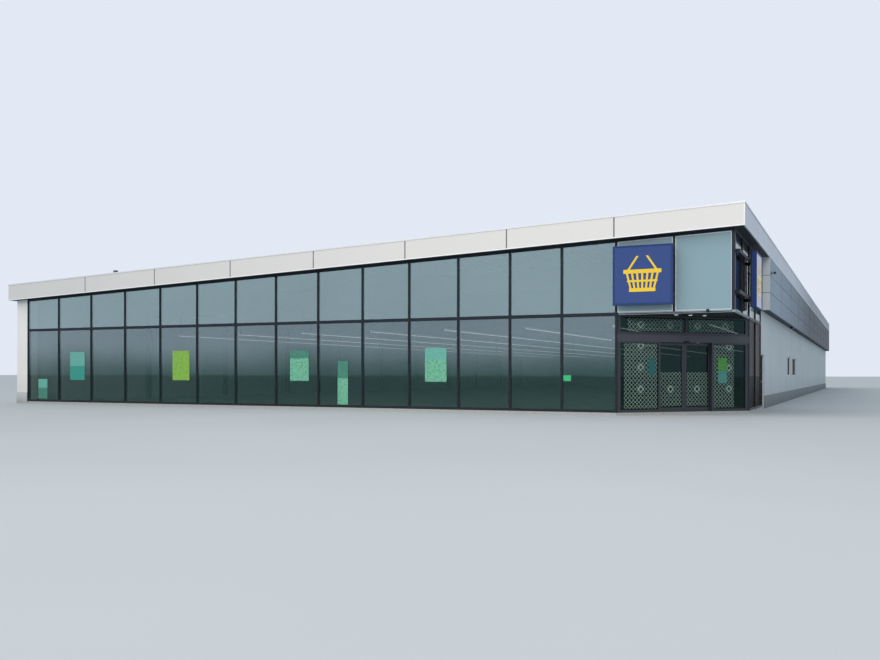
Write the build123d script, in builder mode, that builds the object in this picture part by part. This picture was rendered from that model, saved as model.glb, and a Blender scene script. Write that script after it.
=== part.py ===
from build123d import *
import math
import os

# Supermarket hall as a scale model at 1:2, in millimetres of the model.
# X runs to the right along the glazed front, Y to the back, Z up from the ground.
# The origin is the centre of the floor slab's underside.

# Plan
bay = 1050                  # window bay of the glazed front
bay_count = 12
entrance_bay = 1000         # narrower bays towards the entrance corner
entrance_bay_count = 4
side_bay = 1050             # window bay of the glazed side
side_bay_count = 4
open_front_bays = 2         # bays of the front that bridge the open corner
open_side_bays = 2          # bays of the side that bridge the open corner
pier_width = 350            # white pier at the left end of the front
pier_depth = 300
body_length = 39000         # from the front glazing to the rear wall
wall_thickness = 150
overhang = 175              # fascia and cladding stand this far outside the walls
left_overhang = 105         # the same at the left wall, where there is no cladding

# Heights above the ground
floor_height = 50
plinth_height = 275
soffit_height = 1775        # underside of the bridging corner
corner_board = 12           # thickness of that underside
cladding_base = 2075        # underside of the metal cladding
cladding_course = 360
eave_low = 2525             # underside of the fascia over the left wall's outer face
eave_high = 3185            # underside of the fascia at its right end

# Roof edge
fascia_height = 400
fascia_thickness = 25
coping_height = 22
coping_lip = 8
joint_width = 10            # level joints between the cladding's courses
joint_depth = 8
panel_joint_width = 24      # upright joints between the fascia's panels
panel_joint_depth = 10
bays_per_panel = 2
soffit_thickness = 12
board_joint = 2             # open joint where two soffit boards meet
deck_lift = 225             # underside of the roof deck above the fascia's underside
deck_thickness = 100
edge_beam_width = 100

# Roof structure
beam_count = 10
beam_depth = 500
beam_width = 100
column_width = 140
column_depth = 100

# Windows
bar_width = 40              # outer and inner face of a window bar
bar_core = 20               # bar between two panes
cap_depth = 12
pane_thickness = 14
bar_depth = 75
corner_bar = 52             # bar at the outer corner of the bridge
transom_height = 26
top_rail_height = 45
bottom_rail_height = 45

# Pale edge strip round the foot of the bridging corner
edge_thickness = 4
edge_height = 38
edge_return = 22

# Entrance
portal_depth = 60
end_post = 90
jamb_width = 40
door_width = 1123           # clear way between the jambs
door_shift = 34             # doors sit this far to the right of the entrance's middle
door_head = 1310            # underside of the door operator
operator_height = 130
operator_out = 12
operator_in = 92
operator_wall = 10
leaf_thickness = 30
leaf_gap = 8                # between the leaves and the fixed panes
leaf_floor_gap = 6
leaf_lap = 15               # leaf behind the jamb when the door is shut
leaf_meeting_gap = 6
leaf_bar = 45
leaf_bottom_rail = 70
hanger_width = 12
hanger_length = 70
hanger_rim = 5              # hanger plate above the roller
roller_radius = 16
roller_thickness = 12
rail_height = 12
slot_clearance = 7
running_gap = 0.3

# Signs
sign_size = 1025
sign_depth = 116
sign_frame = 22
sign_rim = 9
sign_back_inset = 18        # dark back frame inside the box's outline
sign_back_depth = 26
sign_arm = 24
sign_arm_height = 60
front_sign_gap = 90         # sign's back to the outer face of the glazing
front_sign_base = 1925
side_sign_gap = 70
sign_rail = 22              # rails behind the side sign, out to the corner
side_sign_start = 1550      # behind the front glazing
side_sign_base = 1950

# Windows and the glazed panel in the right wall
panel_width = 650           # next to the glazed side
panel_head = 1150
panel_rail_height = 560
window_starts = (11300, 13250)      # behind the front glazing
window_widths = (1300, 1750)
window_sill = 700
window_head = 1245
window_bar = 28

# Ceiling lights
light_rows = 8
light_height = 1800
light_width = 60
light_depth = 40
light_setback = 900
hanger_rod = 6

# Small fittings
downlight_radius = 42
downlight_depth = 8
downlight_pitch = 300
downlight_shift = -240      # middle one to the left of the entrance's middle
downlight_setback = 480     # in front of the entrance
vent_width = 75
vent_height = 170
vent_setback = 150
vent_from_left = 3075
plinth_thickness = 12
camera_height = 2870        # wall camera at the front end of the cladding
camera_setback = 320
camera_reach = 75
camera_radius = 26
camera_length = 130
dome_radius = 26
dome_reach = 58
dome_from_corner = 430
wall_lamp_setback = 11400   # behind the front glazing
wall_lamp_size = (150, 80, 50)
sensor_width = 110
sensor_height = 26
sensor_depth = 30

front_width = bay * bay_count + entrance_bay * entrance_bay_count
transom_base = soffit_height + corner_board
x_left = -(pier_width + front_width) / 2
x_right = -x_left
x_glass = x_left + pier_width
y_front = -body_length / 2
y_back = body_length / 2
y_wall = y_front + side_bay * side_bay_count
x_out = x_right + overhang
x_out_left = x_left - left_overhang
y_out_front = y_front - overhang
y_out_back = y_back + overhang
pitch = (eave_high - eave_low) / (x_out - x_left)
roof_reach = eave_high + fascia_height + coping_height
far = body_length

mullions = [x_glass + bay * i for i in range(bay_count + 1)]
mullions += [mullions[-1] + entrance_bay * (i + 1) for i in range(entrance_bay_count)]
side_posts = [y_front + side_bay * i for i in range(side_bay_count + 1)]
corner_x = mullions[-1 - open_front_bays]
corner_y = side_posts[open_side_bays]

# The entrance runs straight from the front's last low mullion to the side's first low post.
portal_length = math.hypot(x_right - corner_x, corner_y - y_front)
along = Vector((x_right - corner_x) / portal_length, (corner_y - y_front) / portal_length, 0)
outward = Vector(along.Y, -along.X, 0)
portal_start = Vector(corner_x, y_front, 0)
portal_face = Plane(origin=portal_start, x_dir=along, z_dir=outward)
door_centre = portal_length / 2 + door_shift
door_start = door_centre - door_width / 2
door_end = door_start + door_width


def eave(x):
    """Height of the fascia's underside at x."""
    return eave_low + pitch * (x - x_left)


def elevation(y):
    """Plane of the front at depth y, seen from outside."""
    return Plane(origin=(0, y, 0), x_dir=(1, 0, 0), z_dir=(0, -1, 0))


def side_elevation(x):
    """Plane of the right side at x, seen from outside."""
    return Plane(origin=(x, 0, 0), x_dir=(0, 1, 0), z_dir=(1, 0, 0))


def portal_section(u):
    """Plane across the entrance at u, with local X outward and local Y up."""
    return Plane(origin=portal_start + along * u, x_dir=outward, z_dir=-along)


def clip_to_pitch(low, high):
    """Keep what lies between two planes parallel to the roof pitch."""
    x0 = x_left - far
    x1 = x_out + far
    with BuildSketch(Plane.XZ) as band:
        Polygon((x0, eave(x0) + low), (x1, eave(x1) + low),
                (x1, eave(x1) + high), (x0, eave(x0) + high), align=None)
    extrude(band.sketch, amount=far, both=True, mode=Mode.INTERSECT)


def rect(x0, y0, x1, y1, mode=Mode.ADD):
    """Rectangle between two corners."""
    with Locations(((x0 + x1) / 2, (y0 + y1) / 2)):
        Rectangle(x1 - x0, y1 - y0, mode=mode)


def keep_off_windows():
    """Cut a plan sketch back to the faces of the two window frames it meets."""
    rect(corner_x - far, y_front, corner_x + bar_width / 2, y_front + bar_depth, Mode.SUBTRACT)
    rect(x_right - bar_depth, corner_y - bar_width / 2, x_right, corner_y + far, Mode.SUBTRACT)


def finish(piece, name):
    piece.part.label = name
    export_step(piece.part, f"parts/{name}.step")


os.makedirs("parts", exist_ok=True)

# Floor slab, cut off at the entrance
with BuildPart() as floor_slab:
    with BuildSketch():
        Polygon((x_left, y_front), (corner_x, y_front), (x_right, corner_y),
                (x_right, y_back), (x_left, y_back), align=None)
    extrude(amount=floor_height)
finish(floor_slab, "floor_slab")

# Front pier under the low end of the fascia
with BuildPart() as front_pier:
    with BuildSketch(Plane.XY.offset(floor_height)):
        rect(x_left, y_front, x_left + pier_width, y_front + pier_depth)
    extrude(amount=roof_reach)
    clip_to_pitch(-far, 0)
finish(front_pier, "front_pier")

# Left wall behind the pier, up to the roof deck
with BuildPart() as left_wall:
    with BuildSketch(Plane.XY.offset(floor_height)):
        rect(x_left, y_front + pier_depth, x_left + wall_thickness, y_back)
    extrude(amount=roof_reach)
    clip_to_pitch(-far, deck_lift)
finish(left_wall, "left_wall")

# Rear wall between the side walls
with BuildPart() as rear_wall:
    with BuildSketch(Plane.XY.offset(floor_height)):
        rect(x_left + wall_thickness, y_back - wall_thickness, x_right - wall_thickness, y_back)
    extrude(amount=roof_reach)
    clip_to_pitch(-far, deck_lift)
finish(rear_wall, "rear_wall")

# Right wall behind the glazed side, cut through for two windows and a glazed panel
with BuildPart() as right_wall:
    with BuildSketch(Plane.XY.offset(floor_height)):
        rect(x_right - wall_thickness, y_wall, x_right, y_back)
    extrude(amount=roof_reach)
    clip_to_pitch(-far, deck_lift)
    with BuildSketch(side_elevation(x_right)):
        for start, width in zip(window_starts, window_widths):
            rect(y_front + start, window_sill, y_front + start + width, window_head)
        rect(y_wall, floor_height, y_wall + panel_width, panel_head)
    extrude(amount=-wall_thickness, mode=Mode.SUBTRACT)
finish(right_wall, "right_wall")

# Grey plinths on the outer faces of the walls and the pier
with BuildPart() as left_plinth:
    with BuildSketch():
        rect(x_left - plinth_thickness, y_front, x_left, y_back + plinth_thickness)
    extrude(amount=plinth_height)
    chamfer(left_plinth.edges().group_by(Axis.Z)[-1].sort_by(Axis.X)[0], plinth_thickness / 2)
finish(left_plinth, "left_plinth")

with BuildPart() as pier_plinth:
    with BuildSketch():
        rect(x_left - plinth_thickness, y_front - plinth_thickness, x_glass, y_front)
    extrude(amount=plinth_height)
    chamfer(pier_plinth.edges().group_by(Axis.Z)[-1].sort_by(Axis.Y)[0], plinth_thickness / 2)
finish(pier_plinth, "pier_plinth")

with BuildPart() as rear_plinth:
    with BuildSketch():
        rect(x_left, y_back, x_right, y_back + plinth_thickness)
    extrude(amount=plinth_height)
    chamfer(rear_plinth.edges().group_by(Axis.Z)[-1].sort_by(Axis.Y)[-1], plinth_thickness / 2)
finish(rear_plinth, "rear_plinth")

with BuildPart() as right_plinth:
    with BuildSketch():
        rect(x_right, y_wall + panel_width, x_right + plinth_thickness, y_back + plinth_thickness)
    extrude(amount=plinth_height)
    chamfer(right_plinth.edges().group_by(Axis.Z)[-1].sort_by(Axis.X)[-1], plinth_thickness / 2)
finish(right_plinth, "right_plinth")

# Metal cladding in level courses, standing out from the upper walls
course_joints = [cladding_base + cladding_course * (i + 1) for i in range(2)]
x_skin = x_out - fascia_thickness
y_skin = y_out_back - fascia_thickness

with BuildPart() as right_cladding:
    with BuildSketch(Plane.XY.offset(cladding_base)):
        rect(x_skin, y_wall, x_out, y_skin)
        rect(x_right, y_wall, x_skin, y_wall + fascia_thickness)
    extrude(amount=roof_reach - cladding_base)
    clip_to_pitch(-far, 0)
    for joint in course_joints:
        with BuildSketch(Plane.XY.offset(joint)):
            rect(x_out - joint_depth, y_wall, x_out, y_skin)
            rect(x_right, y_wall, x_out, y_wall + joint_depth)
        extrude(amount=joint_width, mode=Mode.SUBTRACT)
finish(right_cladding, "right_cladding")

with BuildPart() as rear_cladding:
    with BuildSketch(Plane.XY.offset(cladding_base)):
        rect(x_left, y_skin, x_out, y_out_back)
        rect(x_left, y_back, x_left + fascia_thickness, y_skin)
    extrude(amount=roof_reach - cladding_base)
    clip_to_pitch(-far, 0)
    for joint in course_joints:
        with BuildSketch(Plane.XY.offset(joint)):
            rect(x_left, y_out_back - joint_depth, x_out, y_out_back)
            rect(x_out - joint_depth, y_skin, x_out, y_out_back)
        extrude(amount=joint_width, mode=Mode.SUBTRACT)
finish(rear_cladding, "rear_cladding")

# Boards that close the cladding from below
with BuildPart() as cladding_soffits:
    with BuildSketch(Plane.XY.offset(cladding_base)):
        rect(x_right, y_wall + fascia_thickness, x_skin, y_skin)
        rect(x_left + fascia_thickness, y_back, x_right - board_joint, y_skin)
    extrude(amount=soffit_thickness)
finish(cladding_soffits, "cladding_soffits")

# Fascia round the roof: panels with open joints under one coping
panel_joints = mullions[bays_per_panel:-1:bays_per_panel]
panel_length = bay * bays_per_panel


def joint_rows(start, end):
    """Panel joints at an even pitch close to the panel length between start and end."""
    count = round((end - start) / panel_length)
    return [start + (end - start) * (i + 1) / count for i in range(count - 1)]


with BuildPart() as front_fascia:
    with BuildSketch(Plane.XY.offset(eave_low - fascia_height)):
        rect(x_out_left, y_out_front, x_out, y_out_front + fascia_thickness)
    extrude(amount=2 * roof_reach)
    clip_to_pitch(0, fascia_height - coping_height)
    with BuildSketch(elevation(y_out_front)):
        for x in panel_joints:
            rect(x - panel_joint_width / 2, 0, x + panel_joint_width / 2, roof_reach)
    extrude(amount=-panel_joint_depth, mode=Mode.SUBTRACT)
finish(front_fascia, "front_fascia")

with BuildPart() as right_fascia:
    with BuildSketch(Plane.XY.offset(eave_low)):
        rect(x_skin, y_out_front + fascia_thickness, x_out, y_skin)
    extrude(amount=roof_reach)
    clip_to_pitch(0, fascia_height - coping_height)
    with BuildSketch(side_elevation(x_out)):
        for y in joint_rows(y_out_front, y_out_back):
            rect(y - panel_joint_width / 2, 0, y + panel_joint_width / 2, roof_reach)
    extrude(amount=-panel_joint_depth, mode=Mode.SUBTRACT)
finish(right_fascia, "right_fascia")

with BuildPart() as rear_fascia:
    with BuildSketch(Plane.XY.offset(eave_low - fascia_height)):
        rect(x_out_left, y_skin, x_out, y_out_back)
    extrude(amount=2 * roof_reach)
    clip_to_pitch(0, fascia_height - coping_height)
    with BuildSketch(elevation(y_out_back)):
        for x in panel_joints:
            rect(x - panel_joint_width / 2, 0, x + panel_joint_width / 2, roof_reach)
    extrude(amount=panel_joint_depth, mode=Mode.SUBTRACT)
finish(rear_fascia, "rear_fascia")

with BuildPart() as left_fascia:
    with BuildSketch(Plane.XY.offset(eave_low - fascia_height)):
        rect(x_out_left, y_out_front + fascia_thickness, x_out_left + fascia_thickness, y_skin)
    extrude(amount=2 * roof_reach)
    clip_to_pitch(0, fascia_height - coping_height)
    with BuildSketch(side_elevation(x_out_left)):
        for y in joint_rows(y_out_front, y_out_back):
            rect(y - panel_joint_width / 2, 0, y + panel_joint_width / 2, roof_reach)
    extrude(amount=panel_joint_depth, mode=Mode.SUBTRACT)
finish(left_fascia, "left_fascia")


def coping(strips):
    """Straight lengths of coping on top of the fascia."""
    with BuildSketch(Plane.XY.offset(eave_low)) as plan:
        for strip in strips:
            rect(*strip)
    extrude(plan.sketch, amount=roof_reach)
    clip_to_pitch(fascia_height - coping_height, fascia_height)


coping_depth = fascia_thickness + 2 * coping_lip
coping_x = (x_out_left - coping_lip, x_out + coping_lip)
coping_y = (y_out_front - coping_lip, y_out_back + coping_lip)
with BuildPart() as end_copings:
    coping([(coping_x[0], coping_y[0], coping_x[1], coping_y[0] + coping_depth),
            (coping_x[0], coping_y[1] - coping_depth, coping_x[1], coping_y[1])])
finish(end_copings, "end_copings")

with BuildPart() as side_copings:
    coping([(coping_x[0], coping_y[0] + coping_depth,
             coping_x[0] + coping_depth, coping_y[1] - coping_depth),
            (coping_x[1] - coping_depth, coping_y[0] + coping_depth,
             coping_x[1], coping_y[1] - coping_depth)])
finish(side_copings, "side_copings")

# Boards under the overhang of the glazed front and side, and of the left wall
with BuildPart() as overhang_soffits:
    with BuildSketch(Plane.XY.offset(eave_low - fascia_height)):
        rect(x_out_left + fascia_thickness, y_out_front + fascia_thickness, x_skin, y_front)
        rect(x_right, y_front + board_joint, x_skin, y_wall)
        rect(x_out_left + fascia_thickness, y_front + board_joint, x_left, y_skin)
    extrude(amount=2 * roof_reach)
    clip_to_pitch(0, soffit_thickness)
finish(overhang_soffits, "overhang_soffits")

# Roof deck inside the fascia
with BuildPart() as roof_deck:
    with BuildSketch(Plane.XY.offset(eave_low - fascia_height)):
        rect(x_out_left + fascia_thickness, y_out_front + fascia_thickness, x_skin, y_skin)
    extrude(amount=2 * roof_reach)
    clip_to_pitch(deck_lift, deck_lift + deck_thickness)
finish(roof_deck, "roof_deck")

# Beams over the glazed front and side, the front one turned back over the pier to the left wall
with BuildPart() as front_beam:
    with BuildSketch(Plane.XY.offset(eave_low - fascia_height)):
        rect(x_left, y_front, x_right, y_front + edge_beam_width)
        rect(x_left, y_front, x_left + wall_thickness, y_front + pier_depth)
    extrude(amount=2 * roof_reach)
    clip_to_pitch(0, deck_lift)
finish(front_beam, "front_beam")

with BuildPart() as side_beam:
    with BuildSketch(Plane.XY.offset(eave_low)):
        rect(x_right - edge_beam_width, y_front + edge_beam_width, x_right, y_wall)
    extrude(amount=roof_reach)
    clip_to_pitch(0, deck_lift)
finish(side_beam, "side_beam")

# Roof beams across the hall on columns along the two side walls
beam_pitch = (y_back - wall_thickness - y_wall) / beam_count
beam_places = [y_wall + beam_width + beam_pitch * i for i in range(beam_count)]
x_hall_left = x_left + wall_thickness
x_hall_right = x_right - wall_thickness

with BuildPart() as roof_beams:
    with BuildSketch(Plane.XY.offset(eave_low - beam_depth)):
        for y in beam_places:
            rect(x_hall_left, y - beam_width / 2, x_hall_right, y + beam_width / 2)
    extrude(amount=2 * roof_reach)
    clip_to_pitch(deck_lift - beam_depth, deck_lift)
finish(roof_beams, "roof_beams")


with BuildPart() as wall_columns:
    with BuildSketch(Plane.XY.offset(floor_height)):
        for y in beam_places:
            for x in (x_hall_left, x_hall_right - column_depth):
                rect(x, y - column_width / 2, x + column_depth, y + column_width / 2)
    extrude(amount=roof_reach)
    clip_to_pitch(-far, deck_lift - beam_depth)
finish(wall_columns, "wall_columns")

# Window frames: an outer cap, a narrow core that the panes meet, and an inner box
frame_layers = [(0, cap_depth, bar_width), (cap_depth, pane_thickness, bar_core),
                (cap_depth + pane_thickness, bar_depth - cap_depth - pane_thickness, bar_width)]
core_lap = (bar_width - bar_core) / 2
lower_light = (floor_height + bottom_rail_height, transom_base - transom_height)
upper_light_base = transom_base + transom_height


def lower_frame(posts, face, inward):
    """Lower windows between the first and last of posts, drawn on the plane face."""
    for start, depth, width in frame_layers:
        lap = (bar_width - width) / 2
        with BuildSketch(face.offset(inward * start)) as layer:
            rect(posts[0] - bar_width / 2, floor_height, posts[-1] + bar_width / 2, transom_base)
            for a, b in zip(posts, posts[1:]):
                rect(a + width / 2, lower_light[0] - lap, b - width / 2, lower_light[1] + lap,
                     Mode.SUBTRACT)
        extrude(layer.sketch, amount=inward * depth)


def lower_panes(posts, face, inward):
    """One pane in each of the lower windows."""
    with BuildSketch(face.offset(inward * cap_depth)) as panes:
        for a, b in zip(posts, posts[1:]):
            rect(a + bar_core / 2, lower_light[0] - core_lap, b - bar_core / 2,
                 lower_light[1] + core_lap)
    extrude(panes.sketch, amount=inward * pane_thickness)


def under_eave(a, b, base, drop, mode=Mode.ADD):
    """Face from x = a to x = b, up to a line below the fascia's underside."""
    Polygon((a, base), (b, base), (b, eave(b) - drop), (a, eave(a) - drop), align=None, mode=mode)


low_posts = [x_glass + bar_width / 2] + mullions[1:-open_front_bays]
high_posts = [x_glass + bar_width / 2] + mullions[1:-1] + [x_right - corner_bar + bar_width / 2]
low_side_posts = side_posts[open_side_bays:-1] + [y_wall - bar_width / 2]
high_side_posts = [y_front + bar_depth + bar_width / 2] + side_posts[1:-1] + [y_wall - bar_width / 2]
side_head = eave(x_right - bar_depth)

with BuildPart() as front_frame_lower:
    lower_frame(low_posts, elevation(y_front), -1)
finish(front_frame_lower, "front_frame_lower")

with BuildPart() as front_frame_upper:
    for start, depth, width in frame_layers:
        lap = (bar_width - width) / 2
        with BuildSketch(elevation(y_front + start)) as layer:
            under_eave(x_glass, x_right, transom_base, 0)
            for a, b in zip(high_posts, high_posts[1:]):
                under_eave(a + width / 2, b - width / 2, upper_light_base - lap,
                           top_rail_height - lap, Mode.SUBTRACT)
        extrude(layer.sketch, amount=-depth)
finish(front_frame_upper, "front_frame_upper")


def upper_panes(posts):
    """One pane in each of the upper front windows."""
    with BuildSketch(elevation(y_front + cap_depth)) as panes:
        for a, b in zip(posts, posts[1:]):
            under_eave(a + bar_core / 2, b - bar_core / 2, upper_light_base - core_lap,
                       top_rail_height - core_lap)
    extrude(panes.sketch, amount=-pane_thickness)


with BuildPart() as front_glass_lower:
    lower_panes(low_posts, elevation(y_front), -1)
finish(front_glass_lower, "front_glass_lower")

with BuildPart() as front_glass_upper:
    upper_panes(high_posts[:-open_front_bays])
finish(front_glass_upper, "front_glass_upper")

with BuildPart() as corner_panels:
    upper_panes(high_posts[-1 - open_front_bays:])
finish(corner_panels, "corner_panels")

with BuildPart() as side_frame_lower:
    lower_frame(low_side_posts, side_elevation(x_right), -1)
finish(side_frame_lower, "side_frame_lower")

with BuildPart() as side_frame_upper:
    for start, depth, width in frame_layers:
        lap = (bar_width - width) / 2
        with BuildSketch(side_elevation(x_right - start)) as layer:
            rect(y_front + bar_depth, transom_base, y_wall, side_head)
            for a, b in zip(high_side_posts, high_side_posts[1:]):
                rect(a + width / 2, upper_light_base - lap, b - width / 2,
                     side_head - top_rail_height + lap, Mode.SUBTRACT)
        extrude(layer.sketch, amount=-depth)
finish(side_frame_upper, "side_frame_upper")

with BuildPart() as side_glass_lower:
    lower_panes(low_side_posts, side_elevation(x_right), -1)
finish(side_glass_lower, "side_glass_lower")

with BuildPart() as side_glass_upper:
    with BuildSketch(side_elevation(x_right - cap_depth)):
        for a, b in zip(high_side_posts, high_side_posts[1:]):
            rect(a + bar_core / 2, upper_light_base - core_lap, b - bar_core / 2,
                 side_head - top_rail_height + core_lap)
    extrude(amount=-pane_thickness)
finish(side_glass_upper, "side_glass_upper")

# Underside of the bridging corner, with its downlights
portal_back = -portal_depth * outward
inner_start = portal_start + portal_back
inner_end = portal_start + along * portal_length + portal_back
with BuildPart() as corner_soffit:
    with BuildSketch(Plane.XY.offset(soffit_height)):
        Polygon((corner_x, y_front), (x_right, y_front), (x_right, corner_y),
                (inner_end.X, inner_end.Y), (inner_start.X, inner_start.Y), align=None)
        keep_off_windows()
    extrude(amount=transom_base - soffit_height)
finish(corner_soffit, "corner_soffit")

downlight_line = portal_start + along * (portal_length / 2 + downlight_shift)
downlight_line += outward * downlight_setback
with BuildPart() as downlights:
    with BuildSketch(Plane.XY.offset(soffit_height - downlight_depth)):
        for step in (-1, 0, 1):
            place = downlight_line + along * (downlight_pitch * step)
            with Locations((place.X, place.Y)):
                Circle(downlight_radius)
    extrude(amount=downlight_depth)
    chamfer(downlights.edges().group_by(Axis.Z)[0], downlight_depth / 2)
finish(downlights, "downlights")

with BuildPart() as bridge_edge:
    for height, drop in ((edge_height, 0), (edge_thickness, edge_return)):
        with BuildSketch(Plane.XY.offset(soffit_height - edge_thickness)) as strip:
            rect(corner_x + bar_width / 2 + edge_return, y_front - edge_thickness,
                 x_right + edge_thickness, y_front + drop)
            rect(x_right - drop, y_front + edge_return + board_joint,
                 x_right + edge_thickness, corner_y - bar_width / 2 - edge_return)
        extrude(strip.sketch, amount=height)
finish(bridge_edge, "bridge_edge")

# Entrance frame: a fixed light each side of the doors and two lights over them
portal_head = soffit_height
over_door = door_head + operator_height
portal_layers = [(0, cap_depth, bar_width), (cap_depth, pane_thickness, bar_core),
                 (cap_depth + pane_thickness, portal_depth - cap_depth - pane_thickness, bar_width)]


def portal_lights(u0, u1, base, head, panes):
    """Frame round fixed panes, each given as its first and last u."""
    for start, depth, width in portal_layers:
        lap = (bar_width - width) / 2
        with BuildSketch(portal_face.offset(-start)) as layer:
            rect(u0, base, u1, head)
            for a, b in panes:
                rect(a - lap, base + bottom_rail_height - lap, b + lap,
                     head - transom_height + lap, Mode.SUBTRACT)
        extrude(layer.sketch, amount=-depth)


def portal_panes(base, head, panes):
    """The panes themselves, held in the middle layer of their frame."""
    with BuildSketch(portal_face.offset(-cap_depth)) as sheet:
        for a, b in panes:
            rect(a - core_lap, base + bottom_rail_height - core_lap, b + core_lap,
                 head - transom_height + core_lap)
    extrude(sheet.sketch, amount=-pane_thickness)


def fit_between_windows(base, head):
    """Keep the entrance frame off the window frames at both its ends."""
    with BuildSketch(Plane.XY.offset(base)) as zones:
        rect(corner_x - end_post, y_front - end_post, corner_x + bar_width / 2, y_front + bar_depth)
        rect(x_right - bar_depth, corner_y - bar_width / 2, x_right + end_post, corner_y + end_post)
    extrude(zones.sketch, amount=head - base, mode=Mode.SUBTRACT)


left_light = [(end_post, door_start - jamb_width)]
right_light = [(door_end + jamb_width, portal_length - end_post)]
top_lights = [(end_post, door_centre - bar_width / 2), (door_centre + bar_width / 2,
                                                       portal_length - end_post)]

with BuildPart() as sidelight_frames:
    portal_lights(0, door_start, floor_height, door_head, left_light)
    portal_lights(door_end, portal_length, floor_height, door_head, right_light)
    fit_between_windows(floor_height, door_head)
finish(sidelight_frames, "sidelight_frames")

with BuildPart() as sidelight_glass:
    portal_panes(floor_height, door_head, left_light + right_light)
finish(sidelight_glass, "sidelight_glass")

with BuildPart() as top_light_frame:
    portal_lights(0, portal_length, over_door, portal_head, top_lights)
    fit_between_windows(over_door, portal_head)
finish(top_light_frame, "top_light_frame")

with BuildPart() as top_light_glass:
    portal_panes(over_door, portal_head, top_lights)
finish(top_light_glass, "top_light_glass")

# Door operator: a hollow beam with a slot below, in which the leaves hang on a rail
leaf_face = -portal_depth - leaf_gap
leaf_back = leaf_face - leaf_thickness
hanger_middle = (leaf_face + leaf_back) / 2
operator_back = -portal_depth - operator_in
rail_edge = hanger_middle - hanger_width / 2 - slot_clearance
rail_top = door_head + operator_wall + rail_height
with BuildPart() as door_operator:
    with BuildSketch(portal_section(0)):
        rect(operator_back, door_head, operator_out, over_door)
        rect(operator_back + operator_wall, door_head + operator_wall,
             leaf_face + operator_wall, over_door - operator_wall, Mode.SUBTRACT)
        rect(hanger_middle - hanger_width / 2 - slot_clearance, door_head,
             hanger_middle + hanger_width / 2 + slot_clearance, door_head + operator_wall,
             Mode.SUBTRACT)
        rect(rail_edge - roller_thickness, door_head + operator_wall, rail_edge, rail_top)
    extrude(amount=-portal_length)
    fit_between_windows(door_head, over_door)
finish(door_operator, "door_operator")

with BuildPart() as door_sensor:
    with BuildSketch(portal_section(door_centre - sensor_width / 2)):
        Polygon((operator_out, door_head), (operator_out, door_head + sensor_height),
                (operator_out + sensor_depth, door_head + sensor_height),
                (operator_out + sensor_depth * 0.6, door_head), align=None)
    extrude(amount=-sensor_width)
finish(door_sensor, "door_sensor")


def leaf_frame(u0, u1):
    """Frame of one door leaf with its two hangers and rollers."""
    base = floor_height + leaf_floor_gap
    head = door_head - leaf_floor_gap
    with BuildSketch(portal_face.offset(leaf_face)) as leaf:
        rect(u0, base, u1, head)
        rect(u0 + leaf_bar, base + leaf_bottom_rail, u1 - leaf_bar, head - leaf_bar, Mode.SUBTRACT)
    extrude(leaf.sketch, amount=-leaf_thickness)
    roller_axis = rail_top + running_gap + roller_radius
    for u in (u0 + hanger_length, u1 - hanger_length):
        with BuildSketch(portal_face.offset(hanger_middle + hanger_width / 2)) as plate:
            rect(u - hanger_length / 2, head, u + hanger_length / 2,
                 roller_axis + roller_radius + hanger_rim)
        extrude(plate.sketch, amount=-hanger_width)
        with BuildSketch(portal_face.offset(hanger_middle - hanger_width / 2)) as roller:
            with Locations((u, roller_axis)):
                Circle(roller_radius)
        extrude(roller.sketch, amount=-slot_clearance - roller_thickness)


def leaf_pane(u0, u1):
    """Glass of one door leaf."""
    base = floor_height + leaf_floor_gap
    head = door_head - leaf_floor_gap
    with BuildSketch(portal_face.offset(hanger_middle + pane_thickness / 2)) as pane:
        rect(u0 + leaf_bar, base + leaf_bottom_rail, u1 - leaf_bar, head - leaf_bar)
    extrude(pane.sketch, amount=-pane_thickness)


left_leaf = (door_start - leaf_lap, door_centre - leaf_meeting_gap / 2)
right_leaf = (door_centre + leaf_meeting_gap / 2, door_end + leaf_lap)

with BuildPart() as left_leaf_frame:
    leaf_frame(*left_leaf)
finish(left_leaf_frame, "left_leaf_frame")

with BuildPart() as left_leaf_glass:
    leaf_pane(*left_leaf)
finish(left_leaf_glass, "left_leaf_glass")

with BuildPart() as right_leaf_frame:
    leaf_frame(*right_leaf)
finish(right_leaf_frame, "right_leaf_frame")

with BuildPart() as right_leaf_glass:
    leaf_pane(*right_leaf)
finish(right_leaf_glass, "right_leaf_glass")

# Light boxes on stand-off arms


def sign_box(face, start, base, gap, arms_at, rail=0):
    """Square light box in front of the plane face, on arms on the posts, or on rails between them."""
    inset = sign_back_inset
    with BuildSketch(face.offset(gap)) as back:
        rect(start + inset, base + inset, start + sign_size - inset, base + sign_size - inset)
    extrude(back.sketch, amount=sign_back_depth)
    with BuildSketch(face.offset(gap + sign_back_depth)) as body:
        rect(start, base, start + sign_size, base + sign_size)
    extrude(body.sketch, amount=sign_depth - sign_rim - sign_back_depth)
    with BuildSketch(face.offset(gap + sign_depth - sign_rim)) as rim:
        rect(start, base, start + sign_size, base + sign_size)
        rect(start + sign_frame, base + sign_frame, start + sign_size - sign_frame,
             base + sign_size - sign_frame, Mode.SUBTRACT)
    extrude(rim.sketch, amount=sign_rim)
    arm_heights = (base + sign_size / 6, base + sign_size * 5 / 6)
    with BuildSketch(face) as arms:
        for place in arms_at:
            for height in arm_heights:
                with Locations((place, height)):
                    Rectangle(sign_arm, sign_arm_height)
    extrude(arms.sketch, amount=gap)
    if rail:
        with BuildSketch(face.offset(gap - rail)) as rails:
            for height in arm_heights:
                rect(arms_at[0], height - sign_arm_height / 2,
                     arms_at[-1], height + sign_arm_height / 2)
        extrude(rails.sketch, amount=rail)


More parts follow.
